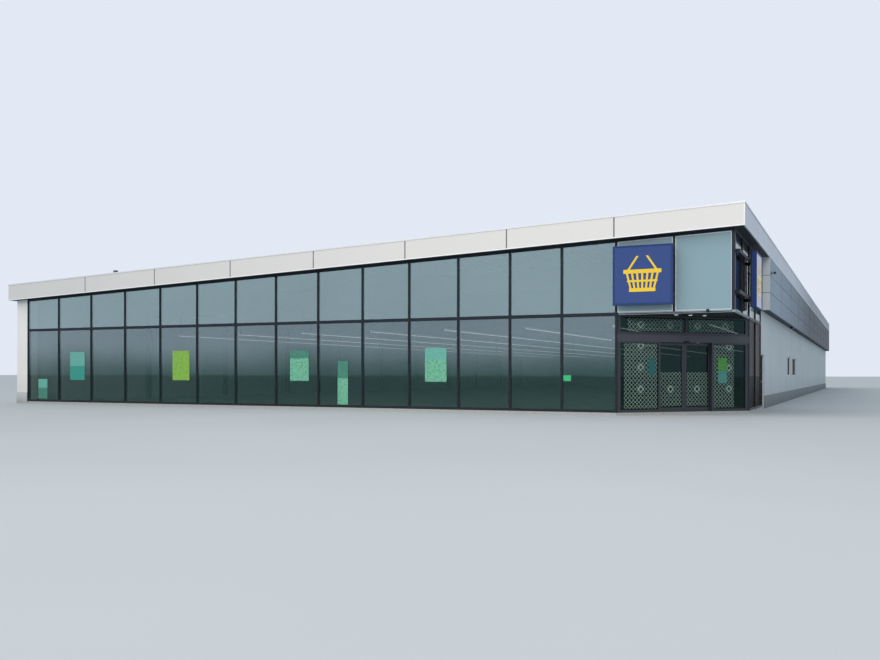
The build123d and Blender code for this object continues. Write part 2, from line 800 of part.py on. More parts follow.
front_sign_posts = mullions[-1 - open_front_bays:-open_front_bays + 1]
front_sign_start = (front_sign_posts[0] + front_sign_posts[1] - sign_size) / 2
with BuildPart() as front_sign:
    sign_box(elevation(y_front), front_sign_start, front_sign_base, front_sign_gap, front_sign_posts)
finish(front_sign, "front_sign")

with BuildPart() as side_sign:
    sign_box(side_elevation(x_right), y_front + side_sign_start, side_sign_base, side_sign_gap,
             high_side_posts[:open_side_bays + 1], sign_rail)
finish(side_sign, "side_sign")

# Windows in the right wall, and the glazed panel beside the glazed side
wall_lights = []
for start, width in zip(window_starts, window_widths):
    wall_lights.append((y_front + start, window_sill, y_front + start + width, window_head))
wall_lights.append((y_wall, floor_height, y_wall + panel_width, panel_head))


def wall_panes(a, base, b, head):
    """Clear openings inside one frame: two side by side, or two one above the other."""
    if base > floor_height:
        middle = (a + b) / 2
        return [(a + window_bar, base + window_bar, middle - window_bar / 2, head - window_bar),
                (middle + window_bar / 2, base + window_bar, b - window_bar, head - window_bar)]
    return [(a + window_bar, base + window_bar, b - window_bar, panel_rail_height),
            (a + window_bar, panel_rail_height + window_bar, b - window_bar, head - window_bar)]


with BuildPart() as right_wall_frames:
    with BuildSketch(side_elevation(x_right - bar_depth)):
        for light in wall_lights:
            rect(*light)
            for pane in wall_panes(*light):
                rect(*pane, Mode.SUBTRACT)
    extrude(amount=bar_width)
finish(right_wall_frames, "right_wall_frames")

with BuildPart() as right_wall_glass:
    with BuildSketch(side_elevation(x_right - bar_depth + (bar_width - pane_thickness) / 2)):
        for light in wall_lights:
            for pane in wall_panes(*light):
                rect(*pane)
    extrude(amount=pane_thickness)
finish(right_wall_glass, "right_wall_glass")

# Ceiling lights in rows from front to back, hung from the beams on rods
row_pitch = front_width / light_rows
row_places = [x_glass + row_pitch * (i + 0.5) for i in range(light_rows)]
with BuildPart() as ceiling_lights:
    with BuildSketch(Plane.XY.offset(light_height)):
        for x in row_places:
            rect(x - light_width / 2, y_wall, x + light_width / 2, y_back - light_setback)
    extrude(amount=light_depth)
    with BuildSketch(Plane.XY.offset(light_height + light_depth)) as rods:
        for x in row_places:
            for y in beam_places:
                rect(x - hanger_rod, y - hanger_rod, x + hanger_rod, y + hanger_rod)
    extrude(rods.sketch, amount=roof_reach)
    clip_to_pitch(-far, deck_lift - beam_depth)
finish(ceiling_lights, "ceiling_lights")

# Vent cowl on the roof near the front
vent_x = x_left + vent_from_left
with BuildPart() as roof_vent:
    with BuildSketch(Plane.XY.offset(eave_low)):
        with Locations((vent_x, y_front + vent_setback)):
            Rectangle(vent_width, vent_width)
    extrude(amount=roof_reach)
    clip_to_pitch(deck_lift + deck_thickness, deck_lift + deck_thickness + vent_height)
finish(roof_vent, "roof_vent")

# Camera on an arm at the front end of the cladding, looking along the side
camera_y = y_wall + camera_setback
with BuildPart() as wall_camera:
    with BuildSketch(side_elevation(x_out)):
        with Locations((camera_y, camera_height)):
            Circle(camera_radius * 1.4)
    extrude(amount=camera_radius / 3)
    with BuildSketch(side_elevation(x_out)) as arm:
        with Locations((camera_y, camera_height)):
            Circle(camera_radius / 3)
    extrude(arm.sketch, amount=camera_reach)
    with BuildSketch(elevation(camera_y - camera_length * 0.7)) as housing:
        with Locations((x_out + camera_reach, camera_height)):
            Circle(camera_radius)
    extrude(housing.sketch, amount=-camera_length)
    with BuildSketch(elevation(camera_y - camera_length * 0.7)) as lens:
        with Locations((x_out + camera_reach, camera_height)):
            Circle(camera_radius * 0.6)
    extrude(lens.sketch, amount=camera_radius / 4)
finish(wall_camera, "wall_camera")

# Dome camera on a short arm at the foot of the bridge
dome_x = x_right - dome_from_corner
dome_y = y_front - dome_reach
dome_z = transom_base + transom_height / 2
with BuildPart() as dome_camera:
    with BuildSketch(elevation(y_front - edge_thickness)):
        with Locations((dome_x, dome_z)):
            Rectangle(dome_radius, transom_height)
    extrude(amount=dome_radius / 4)
    with BuildSketch(elevation(y_front - edge_thickness)) as arm:
        with Locations((dome_x, dome_z)):
            Circle(dome_radius / 3)
    extrude(arm.sketch, amount=dome_reach - edge_thickness)
    with BuildSketch(Plane.XY.offset(dome_z)) as cap:
        with Locations((dome_x, dome_y)):
            Circle(dome_radius)
    extrude(cap.sketch, amount=dome_radius)
    with BuildSketch(elevation(dome_y)) as bowl:
        with Locations((dome_x, dome_z)):
            Circle(dome_radius * 0.8)
            with Locations((dome_radius / 2, 0), (0, dome_radius / 2)):
                Rectangle(dome_radius, 2 * dome_radius, mode=Mode.SUBTRACT)
    revolve(bowl.sketch, axis=Axis((dome_x, dome_y, dome_z), (0, 0, 1)))
finish(dome_camera, "dome_camera")

# Lamp under the edge of the right cladding
with BuildPart() as wall_lamp:
    with BuildSketch(Plane.XY.offset(cladding_base)):
        with Locations((x_out - wall_lamp_size[1] / 2 - fascia_thickness,
                        y_front + wall_lamp_setback)):
            Rectangle(wall_lamp_size[1], wall_lamp_size[0])
    extrude(amount=-wall_lamp_size[2])
    fillet(wall_lamp.edges().group_by(Axis.Z)[0], wall_lamp_size[2] / 5)
finish(wall_lamp, "wall_lamp")
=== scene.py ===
import bpy
import bmesh
import math
from mathutils import Matrix, Vector


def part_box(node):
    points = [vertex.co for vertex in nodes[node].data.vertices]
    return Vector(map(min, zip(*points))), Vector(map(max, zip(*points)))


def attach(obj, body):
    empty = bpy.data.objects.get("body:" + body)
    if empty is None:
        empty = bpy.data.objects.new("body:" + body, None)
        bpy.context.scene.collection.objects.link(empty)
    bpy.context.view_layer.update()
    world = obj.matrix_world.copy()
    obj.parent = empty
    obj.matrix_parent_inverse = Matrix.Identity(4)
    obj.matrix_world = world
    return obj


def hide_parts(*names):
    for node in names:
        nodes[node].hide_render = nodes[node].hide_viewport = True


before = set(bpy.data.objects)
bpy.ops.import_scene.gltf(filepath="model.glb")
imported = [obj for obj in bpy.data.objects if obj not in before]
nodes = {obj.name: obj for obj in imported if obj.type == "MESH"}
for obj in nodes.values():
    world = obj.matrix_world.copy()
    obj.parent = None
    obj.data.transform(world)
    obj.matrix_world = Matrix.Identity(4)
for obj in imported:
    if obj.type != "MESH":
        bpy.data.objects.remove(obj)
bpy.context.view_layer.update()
print("frame loaded with", len(nodes), "nodes")


def adjust(made, **settings):
    for key, value in settings.items():
        setattr(made, key, value)
    return made


def addObject(name, data):
    made = bpy.data.objects.new(name, data)
    bpy.context.scene.collection.objects.link(made)
    return made


# Camera at the photograph's place, standing in front of the right corner
view = {"place": (10.426, -35.178, 0.715), "turnLeft": 25.2, "roll": 0.093, "lens": 36.88, "sensor": 36,
        "shiftUp": 0.0509, "reach": 2000}
viewpoint = addObject("viewpoint", adjust(
    bpy.data.cameras.new("viewpoint"), lens=view["lens"], sensor_width=view["sensor"],
    shift_y=view["shiftUp"], clip_end=view["reach"]))
viewpoint.matrix_world = (Matrix.Translation(view["place"])
                          @ Matrix.Rotation(math.radians(view["turnLeft"]), 4, "Z")
                          @ Matrix.Rotation(math.radians(90), 4, "X")
                          @ Matrix.Rotation(math.radians(view["roll"]), 4, "Z"))
bpy.context.scene.camera = viewpoint
bpy.context.scene.view_settings.view_transform = "Standard"
print("camera set")


# Small helpers for nodes

def feed(node, inputs):
    # an input may be a value or another node's output
    for key, value in inputs.items():
        if isinstance(value, bpy.types.NodeSocket):
            node.id_data.links.new(value, node.inputs[key])
        else:
            node.inputs[key].default_value = value
    return node


def addNode(tree, kind, inputs=None, **settings):
    return feed(adjust(tree.nodes.new(kind), **settings), inputs or {})


def wire(kind, inputs, out=0, **settings):
    # adds a node to the tree that its inputs come from, and gives one of its outputs
    tree = next(value.id_data for value in inputs.values() if isinstance(value, bpy.types.NodeSocket))
    return addNode(tree, kind, inputs, **settings).outputs[out]


def mixColours(amount, first, second):
    return wire("ShaderNodeMix", {0: amount, 6: first, 7: second}, out=2, data_type="RGBA")


def spread(value, low, high, outLow=0.0, outHigh=1.0, **settings):
    ends = {"From Min": low, "From Max": high, "To Min": outLow, "To Max": outHigh}
    return wire("ShaderNodeMapRange", {"Value": value, **ends}, **settings)


def sums(how, first, second):
    return wire("ShaderNodeMath", {0: first, 1: second}, operation=how)


def vectorSums(how, first, second=(0, 0, 0)):
    return wire("ShaderNodeVectorMath", {0: first, 1: second}, operation=how)


def axisOf(place, axis):
    return wire("ShaderNodeSeparateXYZ", {0: place}, out=axis)


def noise(place, scale, detail=3.0, stretch=None):
    # noise on the piece's own coordinates, stretched where stretch is given
    if stretch:
        place = wire("ShaderNodeMapping", {"Vector": place, "Scale": stretch})
    return wire("ShaderNodeTexNoise", {"Vector": place, "Scale": scale, "Detail": detail})


def shade(rgb, factor=1.0):
    # a colour written as 0 to 255, made linear
    out = []
    for part in rgb:
        part = part / 255
        part = part / 12.92 if part <= 0.04045 else ((part + 0.055) / 1.055) ** 2.4
        out.append(min(1.0, part * factor))
    return (*out, 1.0)


def clouded(place, rgb, share, scale, detail=3.0, low=0.35, high=0.65):
    # the colour with soft clouds, in which only a share of it is left
    clouds = spread(noise(place, scale, detail), low, high)
    return mixColours(clouds, shade(rgb), shade(rgb, share))


finishes = {}


def startMaterial(name, wears=""):
    # an empty Principled material, kept under its name and given to the nodes of the part that wear it
    made = bpy.data.materials.new(name)
    made.use_nodes = True
    finishes[name] = made
    for nodeName in wears.split():
        materials = nodes[nodeName].data.materials
        materials.clear()
        materials.append(made)
    tree = made.node_tree
    return tree.nodes["Principled BSDF"], addNode(tree, "ShaderNodeTexCoord").outputs["Object"]


def bump(shader, height, strength, distance):
    feed(shader, {"Normal": wire("ShaderNodeBump", {"Height": height, "Strength": strength,
                                                    "Distance": distance})})


# Stage: floor, sky, a soft sun and a wide lamp that makes the front paler towards its right end
stage = {"floor": (203, 207, 211), "floorClouds": 0.96, "floorHalf": 600, "sky": (226, 233, 245),
         "light": (0.78, 0.91, 1.0), "lightLevel": 0.55,
         "sunLevel": 1.2, "sunTurn": -34, "sunHeight": 42, "sunAngle": 50, "sunColour": (1.0, 0.94, 0.86),
         "lampPlace": (14.6, -47.5, 12.0), "lampAim": (2.0, -19.5, 2.0), "lampSize": 8.0, "lampPower": 800,
         "lampSpread": 90, "lampColour": (1.0, 0.94, 0.88)}


def makeStage():
    half = stage["floorHalf"]
    mesh = bpy.data.meshes.new("studio_floor")
    mesh.from_pydata([(-half, -half, 0), (half, -half, 0), (half, half, 0), (-half, half, 0)], [],
                     [(0, 1, 2, 3)])
    floor = addObject("studio_floor", mesh)
    shader, place = startMaterial("pale studio floor")
    feed(shader, {"Base Color": clouded(place, stage["floor"], stage["floorClouds"], 0.25, 2.0, 0.3, 0.7),
                  "Roughness": 0.9, "Specular IOR Level": 0.1})
    mesh.materials.append(finishes["pale studio floor"])

    world = bpy.data.worlds.new("overcast sky")
    world.use_nodes = True
    bpy.context.scene.world = world
    tree = world.node_tree
    tree.nodes.clear()
    path = addNode(tree, "ShaderNodeLightPath").outputs
    seen = sums("MAXIMUM", path["Is Camera Ray"], path["Is Glossy Ray"])
    seen = sums("MAXIMUM", seen, path["Is Transmission Ray"])
    light, sky = (*stage["light"], 1), shade(stage["sky"])
    lit, shown = [addNode(tree, "ShaderNodeBackground", {"Color": colour, "Strength": level}).outputs[0]
                  for colour, level in ((light, stage["lightLevel"]), (sky, 1.0))]
    both = wire("ShaderNodeMixShader", {0: seen, 1: lit, 2: shown})
    addNode(tree, "ShaderNodeOutputWorld", {"Surface": both})

    sun = addObject("soft_sun", adjust(bpy.data.lights.new("soft_sun", "SUN"), energy=stage["sunLevel"],
                                       angle=math.radians(stage["sunAngle"]), color=stage["sunColour"]))
    sun.rotation_euler = (math.radians(90 - stage["sunHeight"]), 0, math.radians(stage["sunTurn"]))

    wide = addObject("wide_lamp", adjust(
        bpy.data.lights.new("wide_lamp", "AREA"), energy=stage["lampPower"], size=stage["lampSize"],
        spread=math.radians(stage["lampSpread"]), color=stage["lampColour"]))
    wide.location = stage["lampPlace"]
    aim = Vector(stage["lampAim"]) - Vector(stage["lampPlace"])
    wide.rotation_euler = aim.to_track_quat("-Z", "Y").to_euler()


makeStage()
print("stage ready")


# Kinds of finish. darker: how much of the colour is left in clouds, streaks and lines.
# relief: the strength and depth of each surface's bumps
darker = {"sheetClouds": 0.955, "panels": 0.82, "sheetRain": 0.55, "coatClouds": 0.94, "coatRain": 0.7,
          "boards": 0.85, "openLine": 0.3, "glass": 0.93, "tiles": 0.93, "tileJoint": 0.72,
          "waterMarks": 0.78, "weld": 0.5, "plastic": 0.7, "milkGlass": 0.93}
relief = {"sheet": (0.15, 0.0002), "coat": (0.35, 0.0012), "boards": (0.6, 0.004), "glass": (0.05, 0.01),
          "roof": (0.3, 0.003)}


def repeats(place, axis, width):
    # 0 to 1 over and over, once in each width
    return sums("FLOORED_MODULO", sums("DIVIDE", axisOf(place, axis), width), 1.0)


def uneven(value, least, most):
    # roughness that changes a little with a noise
    return spread(value, 0.3, 0.7, least, most)


def coatedSheet(name, rgb, roughness, metallic=0.0, cloudSize=0.6, streak=0.05, grain=90, panel=None,
                split=None, fade=None, shine=0.5, wears=""):
    # painted or bare metal sheet with faint rain streaks and a fine grain; where streak is high, as on the
    # cladding, the streaks are partly rain marks and partly painted sheen. panel: where the panels start,
    # their size, and how much their tones differ. fade: axis, start, end and the colour there; the fades here
    # are painted light and shade along that axis.
    # split: axis, place and the colour before it
    shader, place = startMaterial(name, wears)
    tone = clouded(place, rgb, darker["sheetClouds"], cloudSize)
    if panel:
        start, size, differ = panel
        cells = vectorSums("DIVIDE", vectorSums("SUBTRACT", place, start), size)
        own = wire("ShaderNodeTexWhiteNoise", {"Vector": vectorSums("FLOOR", cells)}, noise_dimensions="3D")
        own = spread(own, 0.0, 1.0, 0.0, differ)
        tone = mixColours(own, tone, shade(rgb, darker["panels"]))
    rain = spread(noise(place, 1.0, 4.0, (9.0, 9.0, 0.55)), 0.52, 0.78)
    rain = sums("MULTIPLY", rain, streak)
    tone = mixColours(rain, tone, shade(rgb, darker["sheetRain"]))
    # painted light and shade: the colour turns into another one along an axis
    if fade:
        axis, start, end, other = fade
        tone = mixColours(spread(axisOf(place, axis), start, end), tone, shade(other))
    if split:
        axis, at, other = split
        before = sums("LESS_THAN", axisOf(place, axis), at)
        tone = mixColours(before, tone, shade(other))
    fine = noise(place, grain, 2.0)
    feed(shader, {"Base Color": tone, "Metallic": metallic, "Specular IOR Level": shine,
                  "Roughness": uneven(fine, roughness - 0.05, roughness + 0.06)})
    bump(shader, fine, *relief["sheet"])


def wallCoat(name, rgb, splashed, amount, dirt, wears):
    # troweled render: fine relief, rain streaks, and splashed dirt that fades out between two heights
    shader, place = startMaterial(name, wears)
    rain = spread(noise(place, 1.0, 4.0, (5.0, 5.0, 0.35)), 0.5, 0.8, 0.0, 0.22)
    tone = clouded(place, rgb, darker["coatClouds"], 0.8, 5.0)
    tone = mixColours(rain, tone, shade(rgb, darker["coatRain"]))
    low = spread(axisOf(place, "Z"), *splashed, 1.0, 0.0)
    low = sums("MULTIPLY", low, noise(place, 5.0, 5.0))
    tone = mixColours(sums("MULTIPLY", low, amount), tone, shade(dirt))
    feed(shader, {"Base Color": tone, "Roughness": 0.86})
    bump(shader, noise(place, 260), *relief["coat"])


def linedBoards(name, rgb, direction, width, roughness, wears):
    # dark boards side by side, with a narrow open line between two boards
    shader, place = startMaterial(name, wears)
    line = spread(sums("PINGPONG", repeats(place, direction, width), 0.5), 0.0, 0.06)
    tone = mixColours(noise(place, 1.5), shade(rgb), shade(rgb, darker["boards"]))
    tone = mixColours(line, shade(rgb, darker["openLine"]), tone)
    rough = uneven(noise(place, 30), roughness - 0.06, roughness + 0.08)
    feed(shader, {"Base Color": tone, "Roughness": rough, "Specular IOR Level": 0.1})
    bump(shader, line, *relief["boards"])


def mirrorGlass(name, rgb, cover, foot=None, rim=1.0, metal=1.0, wears=""):
    # coated glass: a mirror coat over clear glass. foot: two heights between which the colour turns into
    # another one towards the lower height, a painted reflection of the dark ground. A low rim keeps it dark
    # when it is seen along its face
    shader, place = startMaterial(name, wears)
    tone = clouded(place, rgb, darker["glass"], 0.35, 2.0)
    # painted reflection: darker towards the bottom, along a wavy height
    if foot:
        low, high, other = foot
        wave = spread(noise(place, 0.5, 4.0), 0.3, 0.7, -0.12, 0.12)
        height = sums("ADD", axisOf(place, "Z"), wave)
        near = spread(height, low, high, 1.0, 0.0, interpolation_type="SMOOTHSTEP")
        tone = mixColours(near, tone, shade(other))
    feed(shader, {"Base Color": tone, "Metallic": metal, "Roughness": 0.02, "Alpha": cover,
                  "Specular IOR Level": 0.5 * metal, "Specular Tint": (rim, rim, rim, 1)})
    bump(shader, noise(place, 0.9, 1.0), *relief["glass"])


def tiledFloor(name, rgb, tile, under, wears):
    # square tiles; the slab's edges, below the given height, are bare concrete
    shader, place = startMaterial(name, wears)
    tiles = wire("ShaderNodeTexBrick", {
        "Vector": place, "Color1": shade(rgb), "Color2": shade(rgb, darker["tiles"]),
        "Mortar": shade(rgb, darker["tileJoint"]), "Scale": 1.0, "Mortar Size": 0.004, "Brick Width": tile,
        "Row Height": tile}, offset=0.0)
    cement = mixColours(noise(place, 12.0, 5.0), shade((186, 187, 184)), shade((150, 150, 146)))
    above = sums("GREATER_THAN", axisOf(place, "Z"), under)
    feed(shader, {"Base Color": mixColours(above, cement, tiles),
                  "Roughness": uneven(noise(place, 3.0), 0.25, 0.45)})


def roofSheet(name, rgb, width, wears):
    # welded roofing sheets: a darker weld line every width, standing water marks and dust
    shader, place = startMaterial(name, wears)
    weld = spread(repeats(place, "X", width), 0.0, 0.045, 1.0, 0.0)
    tone = clouded(place, rgb, darker["waterMarks"], 0.45, 6.0, 0.45, 0.7)
    tone = mixColours(sums("MULTIPLY", weld, 0.6), tone, shade(rgb, darker["weld"]))
    feed(shader, {"Base Color": tone, "Roughness": 0.8})
    bump(shader, sums("ADD", weld, noise(place, 60)), *relief["roof"])


def blackPlastic(name, rgb, roughness, wears=""):
    shader, place = startMaterial(name, wears)
    tone = mixColours(noise(place, 40), shade(rgb), shade(rgb, darker["plastic"]))
    rough = uneven(noise(place, 160), roughness - 0.05, roughness + 0.08)
    feed(shader, {"Base Color": tone, "Roughness": rough})


def printedSheet(name, rgb, ink, amount):
    # poster paper with a loose blot print, no letters and no picture
    shader, place = startMaterial(name)
    blots = spread(noise(place, 21.0, 3.0, (1.0, 0.0, 1.4)), 0.48, 0.62, 0.0, amount)
    feed(shader, {"Base Color": mixColours(blots, shade(rgb), shade(ink)), "Roughness": 0.45})


def glowing(name, rgb, level):
    # lamp cover that shines evenly, a little uneven in its milk glass
    shader, place = startMaterial(name)
    tone = mixColours(noise(place, 8.0), shade(rgb), shade(rgb, darker["milkGlass"]))
    feed(shader, {"Base Color": tone, "Emission Color": tone, "Emission Strength": level, "Roughness": 0.4})


# Finishes: colours from 0 to 255, and the nodes of the part that wear each of them.
# Panels of the fascia: where they start, and their size
frontPanels = (-8.125, 0, 0), (2.1, 100, 100)
sidePanels = (-50, -19.675, 0), (100, 2.0731, 100)
# the first of these colours is the painted shade that the right and rear fascias darken to
fasciaPaintedShade, signBlue, signDark = (128, 142, 155), (42, 66, 124), (34, 36, 42)

wallCoat("pier render", (240, 238, 235), (0.25, 0.75), 0.35, (150, 148, 142), "front_pier")
# the walls' render is a bluer, darker copy of the pier's white render: the difference is painted shade
wallCoat("wall render in painted shade", (214, 222, 227), (0.25, 0.75), 0.35, (140, 138, 132),
         "left_wall rear_wall right_wall")
wallCoat("pier plinth render", (195, 200, 201), (0.0, 0.22), 0.8, (92, 90, 86), "pier_plinth")
wallCoat("plinth render", (138, 145, 149), (0.0, 0.22), 0.8, (84, 84, 82),
         "left_plinth rear_plinth right_plinth")
# the front fascia grows paler towards its right end: painted light
coatedSheet("front fascia panels with painted light", (217, 215, 214), 0.38, panel=(*frontPanels, 0.12),
            fade=("X", -8.0, 6.0, (225, 222, 220)), wears="front_fascia")
# the left fascia is a bluer copy of the front panels: painted shade
coatedSheet("left fascia panels in painted shade", (214, 220, 229), 0.38, panel=(*sidePanels, 0.12), wears="left_fascia")
# the right fascia is a bluer copy of the fascia panels, painted shade, and darkens towards the back as a
# painted reflection
coatedSheet("right fascia panels in painted shade", (206, 215, 228), 0.42, shine=0.3, panel=(*sidePanels, 0.3),
            fade=("Y", -9.0, 1.0, fasciaPaintedShade), wears="right_fascia")
# the rear fascia is a bluer copy too, darkening towards its right end to meet the right side: painted shade
coatedSheet("rear fascia panels in painted shade", (206, 213, 222), 0.42, shine=0.3, panel=(*frontPanels, 0.2),
            fade=("X", -7.0, 8.0, fasciaPaintedShade), wears="rear_fascia")
coatedSheet("folded coping", (226, 228, 230), 0.35, 0.35, streak=0.02, wears="end_copings side_copings")
# the cladding darkens towards the back as a painted reflection, its front return face is painted pale for
# light that the building keeps off it, and its heavy streaks are partly rain marks and partly painted sheen
coatedSheet("silver cladding with painted light", (152, 172, 190), 0.5, streak=0.4, shine=0.15,
            panel=((-50, -15.3, 2.085), (100, 3.0, 0.36), 0.5), fade=("Y", -14.0, 0.0, (56, 71, 83)),
            split=("Y", -15.27, (208, 212, 215)), wears="right_cladding")
# the back cladding is a darker copy of the side cladding, darkening towards its right end to meet the right
# side: painted shade; its streaks are partly painted sheen
coatedSheet("back cladding in painted shade", (126, 140, 153), 0.4, streak=0.35, shine=0.3,
            panel=((-8.6, -50, 2.085), (3.0, 100, 0.36), 0.3), fade=("X", -6.0, 8.7, (70, 85, 97)),
            wears="rear_cladding")
linedBoards("soffit boards", (58, 62, 68), "Y", 0.055, 0.45, "overhang_soffits")
# the boards under the cladding are a darker copy of the soffit boards: painted shade
linedBoards("side soffit boards in painted shade", (32, 37, 42), "X", 0.055, 0.45, "cladding_soffits")
linedBoards("corner boards", (42, 46, 51), "Y", 0.11, 0.3, "corner_soffit")
roofSheet("roofing sheet", (140, 143, 145), 1.0, "roof_deck")
coatedSheet("steel paint", (96, 100, 104), 0.6, wears="front_beam side_beam roof_beams wall_columns")
coatedSheet("frame coat", (30, 39, 48), 0.45, 0.1, streak=0.15, shine=0.25,
            wears="front_frame_lower front_frame_upper side_frame_lower side_frame_upper")
coatedSheet("portal coat", (50, 53, 61), 0.4, 0.1, streak=0.1,
            wears="sidelight_frames top_light_frame left_leaf_frame right_leaf_frame")
coatedSheet("operator coat", (66, 68, 77), 0.42, 0.1, wears="door_operator")
# the clear pane's darker foot is a painted reflection of the ground
mirrorGlass("clear pane with painted reflection", (174, 194, 198), 0.34, (0.6, 1.5, (88, 122, 115)), wears="front_glass_lower")
mirrorGlass("coated pane", (190, 213, 214), 0.44, wears="front_glass_upper side_glass_upper")
# the wall windows' panes are dark and nearly opaque, standing for the shade of the room behind: painted shade
mirrorGlass("wall pane in painted shade", (24, 29, 33), 0.94, rim=0.0, metal=0.0, wears="right_wall_glass")
mirrorGlass("side pane", (110, 137, 145), 0.5, rim=0.1, wears="side_glass_lower")
mirrorGlass("door pane", (42, 60, 58), 0.58,
            wears="sidelight_glass top_light_glass left_leaf_glass right_leaf_glass")
coatedSheet("enamel panel", (138, 166, 176), 0.16, cloudSize=0.3, streak=0.03, wears="corner_panels")
# the back of the front sign box is dark: partly its dark back frame, partly painted shade on its flank
coatedSheet("front sign box", signDark, 0.5, streak=0.0, shine=0.15, split=("Y", -19.616, signBlue),
            wears="front_sign")
coatedSheet("side sign box", signBlue, 0.5, streak=0.0, shine=0.15, split=("X", 8.571, signDark),
            wears="side_sign")
coatedSheet("sign face", (44, 70, 132), 0.14, streak=0.0)
coatedSheet("basket yellow", (243, 205, 46), 0.25, streak=0.0)
coatedSheet("lamp housing", (60, 63, 66), 0.4, split=("Z", 1.842, (225, 226, 226)),
            wears="ceiling_lights downlights")
glowing("lamp cover", (250, 251, 248), 0.8)
coatedSheet("vent sheet", (92, 95, 98), 0.5, 0.3, wears="roof_vent")
coatedSheet("pale edge", (204, 214, 218), 0.3, 0.2, streak=0.08)
# the edge under the bridging corner is a darker copy of the pale edge: painted shade
coatedSheet("bridge edge", (138, 152, 158), 0.45, 0.2, streak=0.08, wears="bridge_edge")
coatedSheet("bright edge", (246, 247, 248), 0.3, streak=0.02)
coatedSheet("bare aluminium", (190, 193, 196), 0.32, 0.9, streak=0.02, grain=200)
coatedSheet("white coat", (226, 228, 229), 0.4)
coatedSheet("wall window coat", (226, 229, 231), 0.4, split=("Y", -14.6, (44, 47, 52)),
            wears="right_wall_frames")
# the joint strip's grey stands partly for painted shade in the fascia joints
blackPlastic("joint strip", (112, 114, 116), 0.7)
blackPlastic("rubber", (20, 21, 22), 0.7)
blackPlastic("smoked lens", (52, 55, 57), 0.2)
coatedSheet("deck underside", (150, 154, 156), 0.5)
coatedSheet("cut film", (156, 184, 170), 0.6, streak=0.0)
glowing("exit green", (40, 214, 120), 1.2)
blackPlastic("black plastic", (22, 23, 25), 0.35, "door_sensor wall_camera dome_camera wall_lamp")
tiledFloor("floor tiles", (150, 150, 147), 0.3, 0.0495, "floor_slab")
print("materials given to the frame")


# Measures of the frame, read from its boxes where they can be
posts = {"half": 0.02, "first": -8.125, "bay": 1.05, "bays": 12, "corner": [5.475, 6.475, 7.475, 8.449],
         "sill": 0.095, "transom": (1.761, 1.813), "middle": 1.787, "topRail": 0.045,
         "sideFirst": 0.095, "sideSecond": 1.05, "sideFourth": 3.15}
panelHeight = 0.378
(left, outFront, eaveLow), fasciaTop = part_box("front_fascia")
outRight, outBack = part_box("right_fascia")[1].x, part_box("rear_fascia")[1].y
front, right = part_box("front_frame_lower")[0].y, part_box("side_frame_lower")[1].x
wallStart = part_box("right_wall")[0].y
pitch = (fasciaTop.z - panelHeight - eaveLow) / (outRight - left)
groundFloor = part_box("floor_slab")[1].z
frontPosts = [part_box("front_frame_lower")[0].x + posts["half"]]
frontPosts += [posts["first"] + posts["bay"] * (i + 1) for i in range(posts["bays"])] + posts["corner"]
cornerPost = posts["corner"][1]
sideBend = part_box("side_frame_lower")[0].y + posts["half"]
lowerSidePosts = [sideBend, front + posts["sideFourth"], wallStart - posts["half"]]
upperSidePosts = [front + posts["sideFirst"], front + posts["sideSecond"]] + lowerSidePosts
portalStart = Vector((cornerPost, front, 0))
portalEnd = Vector((right, sideBend, 0))
portalLength = (portalEnd - portalStart).length
along = (portalEnd - portalStart).normalized()
outward = Vector((along.y, -along.x, 0))
roofCorners = [(left, outFront, -1, -1), (outRight, outFront, 1, -1), (outRight, outBack, 1, 1),
               (left, outBack, -1, 1)]


def eave(x):
    # underside of the fascia
    return eaveLow + pitch * (x - left)


# Places on the three glazed faces: across, height, and depth from the outer face inward

def onFront(across, height, depth):
    return Vector((across, front + depth, height))


def onSide(across, height, depth):
    return Vector((right - depth, across, height))


def onPortal(across, height, depth):
    return portalStart + along * across - outward * depth + Vector((0, 0, height))


# Helpers for meshes

def rectangle(across, up):
    return [(across[0], up[0]), (across[1], up[0]), (across[1], up[1]), (across[0], up[1])]


def solid(shape, near, far, finishIndex=0):
    # a closed solid between two outlines with the same number of points
    first = [shape.verts.new(p) for p in near]
    second = [shape.verts.new(p) for p in far]
    count = len(first)
    faces = [shape.faces.new(first), shape.faces.new(second[::-1])]
    for i in range(count):
        j = (i + 1) % count
        faces.append(shape.faces.new((first[i], second[i], second[j], first[j])))
    for face in faces:
        face.material_index = finishIndex


def plate(shape, place, across, height, depth, finishIndex=0):
    # a flat bar on one of the three faces, given as ranges
    near, far = [[place(a, h, level) for a, h in rectangle(across, height)] for level in depth]
    solid(shape, near, far, finishIndex)


def upright(shape, plan, low, high):
    # a closed solid over one plan
    solid(shape, [(*p, low) for p in plan], [(*p, high) for p in plan])


def bridgeRings(shape, rings, finishIndex=0):
    # faces from each ring of points to the next one, and from the last one to the first
    for one, two in zip(rings, rings[1:] + rings[:1]):
        for i in range(len(one)):
            j = (i + 1) % len(one)
            shape.faces.new((one[i], one[j], two[j], two[i])).material_index = finishIndex


def paneRing(shape, place, across, base, head, width, depth, finishIndex=0):
    # a thin frame round one pane; head gives its height at each place across
    a, b = across
    outer = [(a, base), (b, base), (b, head(b)), (a, head(a))]
    inner = [(a + width, base + width), (b - width, base + width),
             (b - width, head(b - width) - width), (a + width, head(a + width) - width)]
    near, far = depth
    bridgeRings(shape, [[shape.verts.new(place(*point, level)) for point in line]
                        for line, level in ((outer, near), (inner, near), (inner, far), (outer, far))],
                finishIndex)


def roundEdge(shape, profile, heightAt):
    # one profile carried round the roof edge, mitred at the four corners
    bridgeRings(shape, [[shape.verts.new((x + dx * u, y + dy * u, heightAt(x + dx * u) + v))
                         for u, v in profile] for x, y, dx, dy in roofCorners])


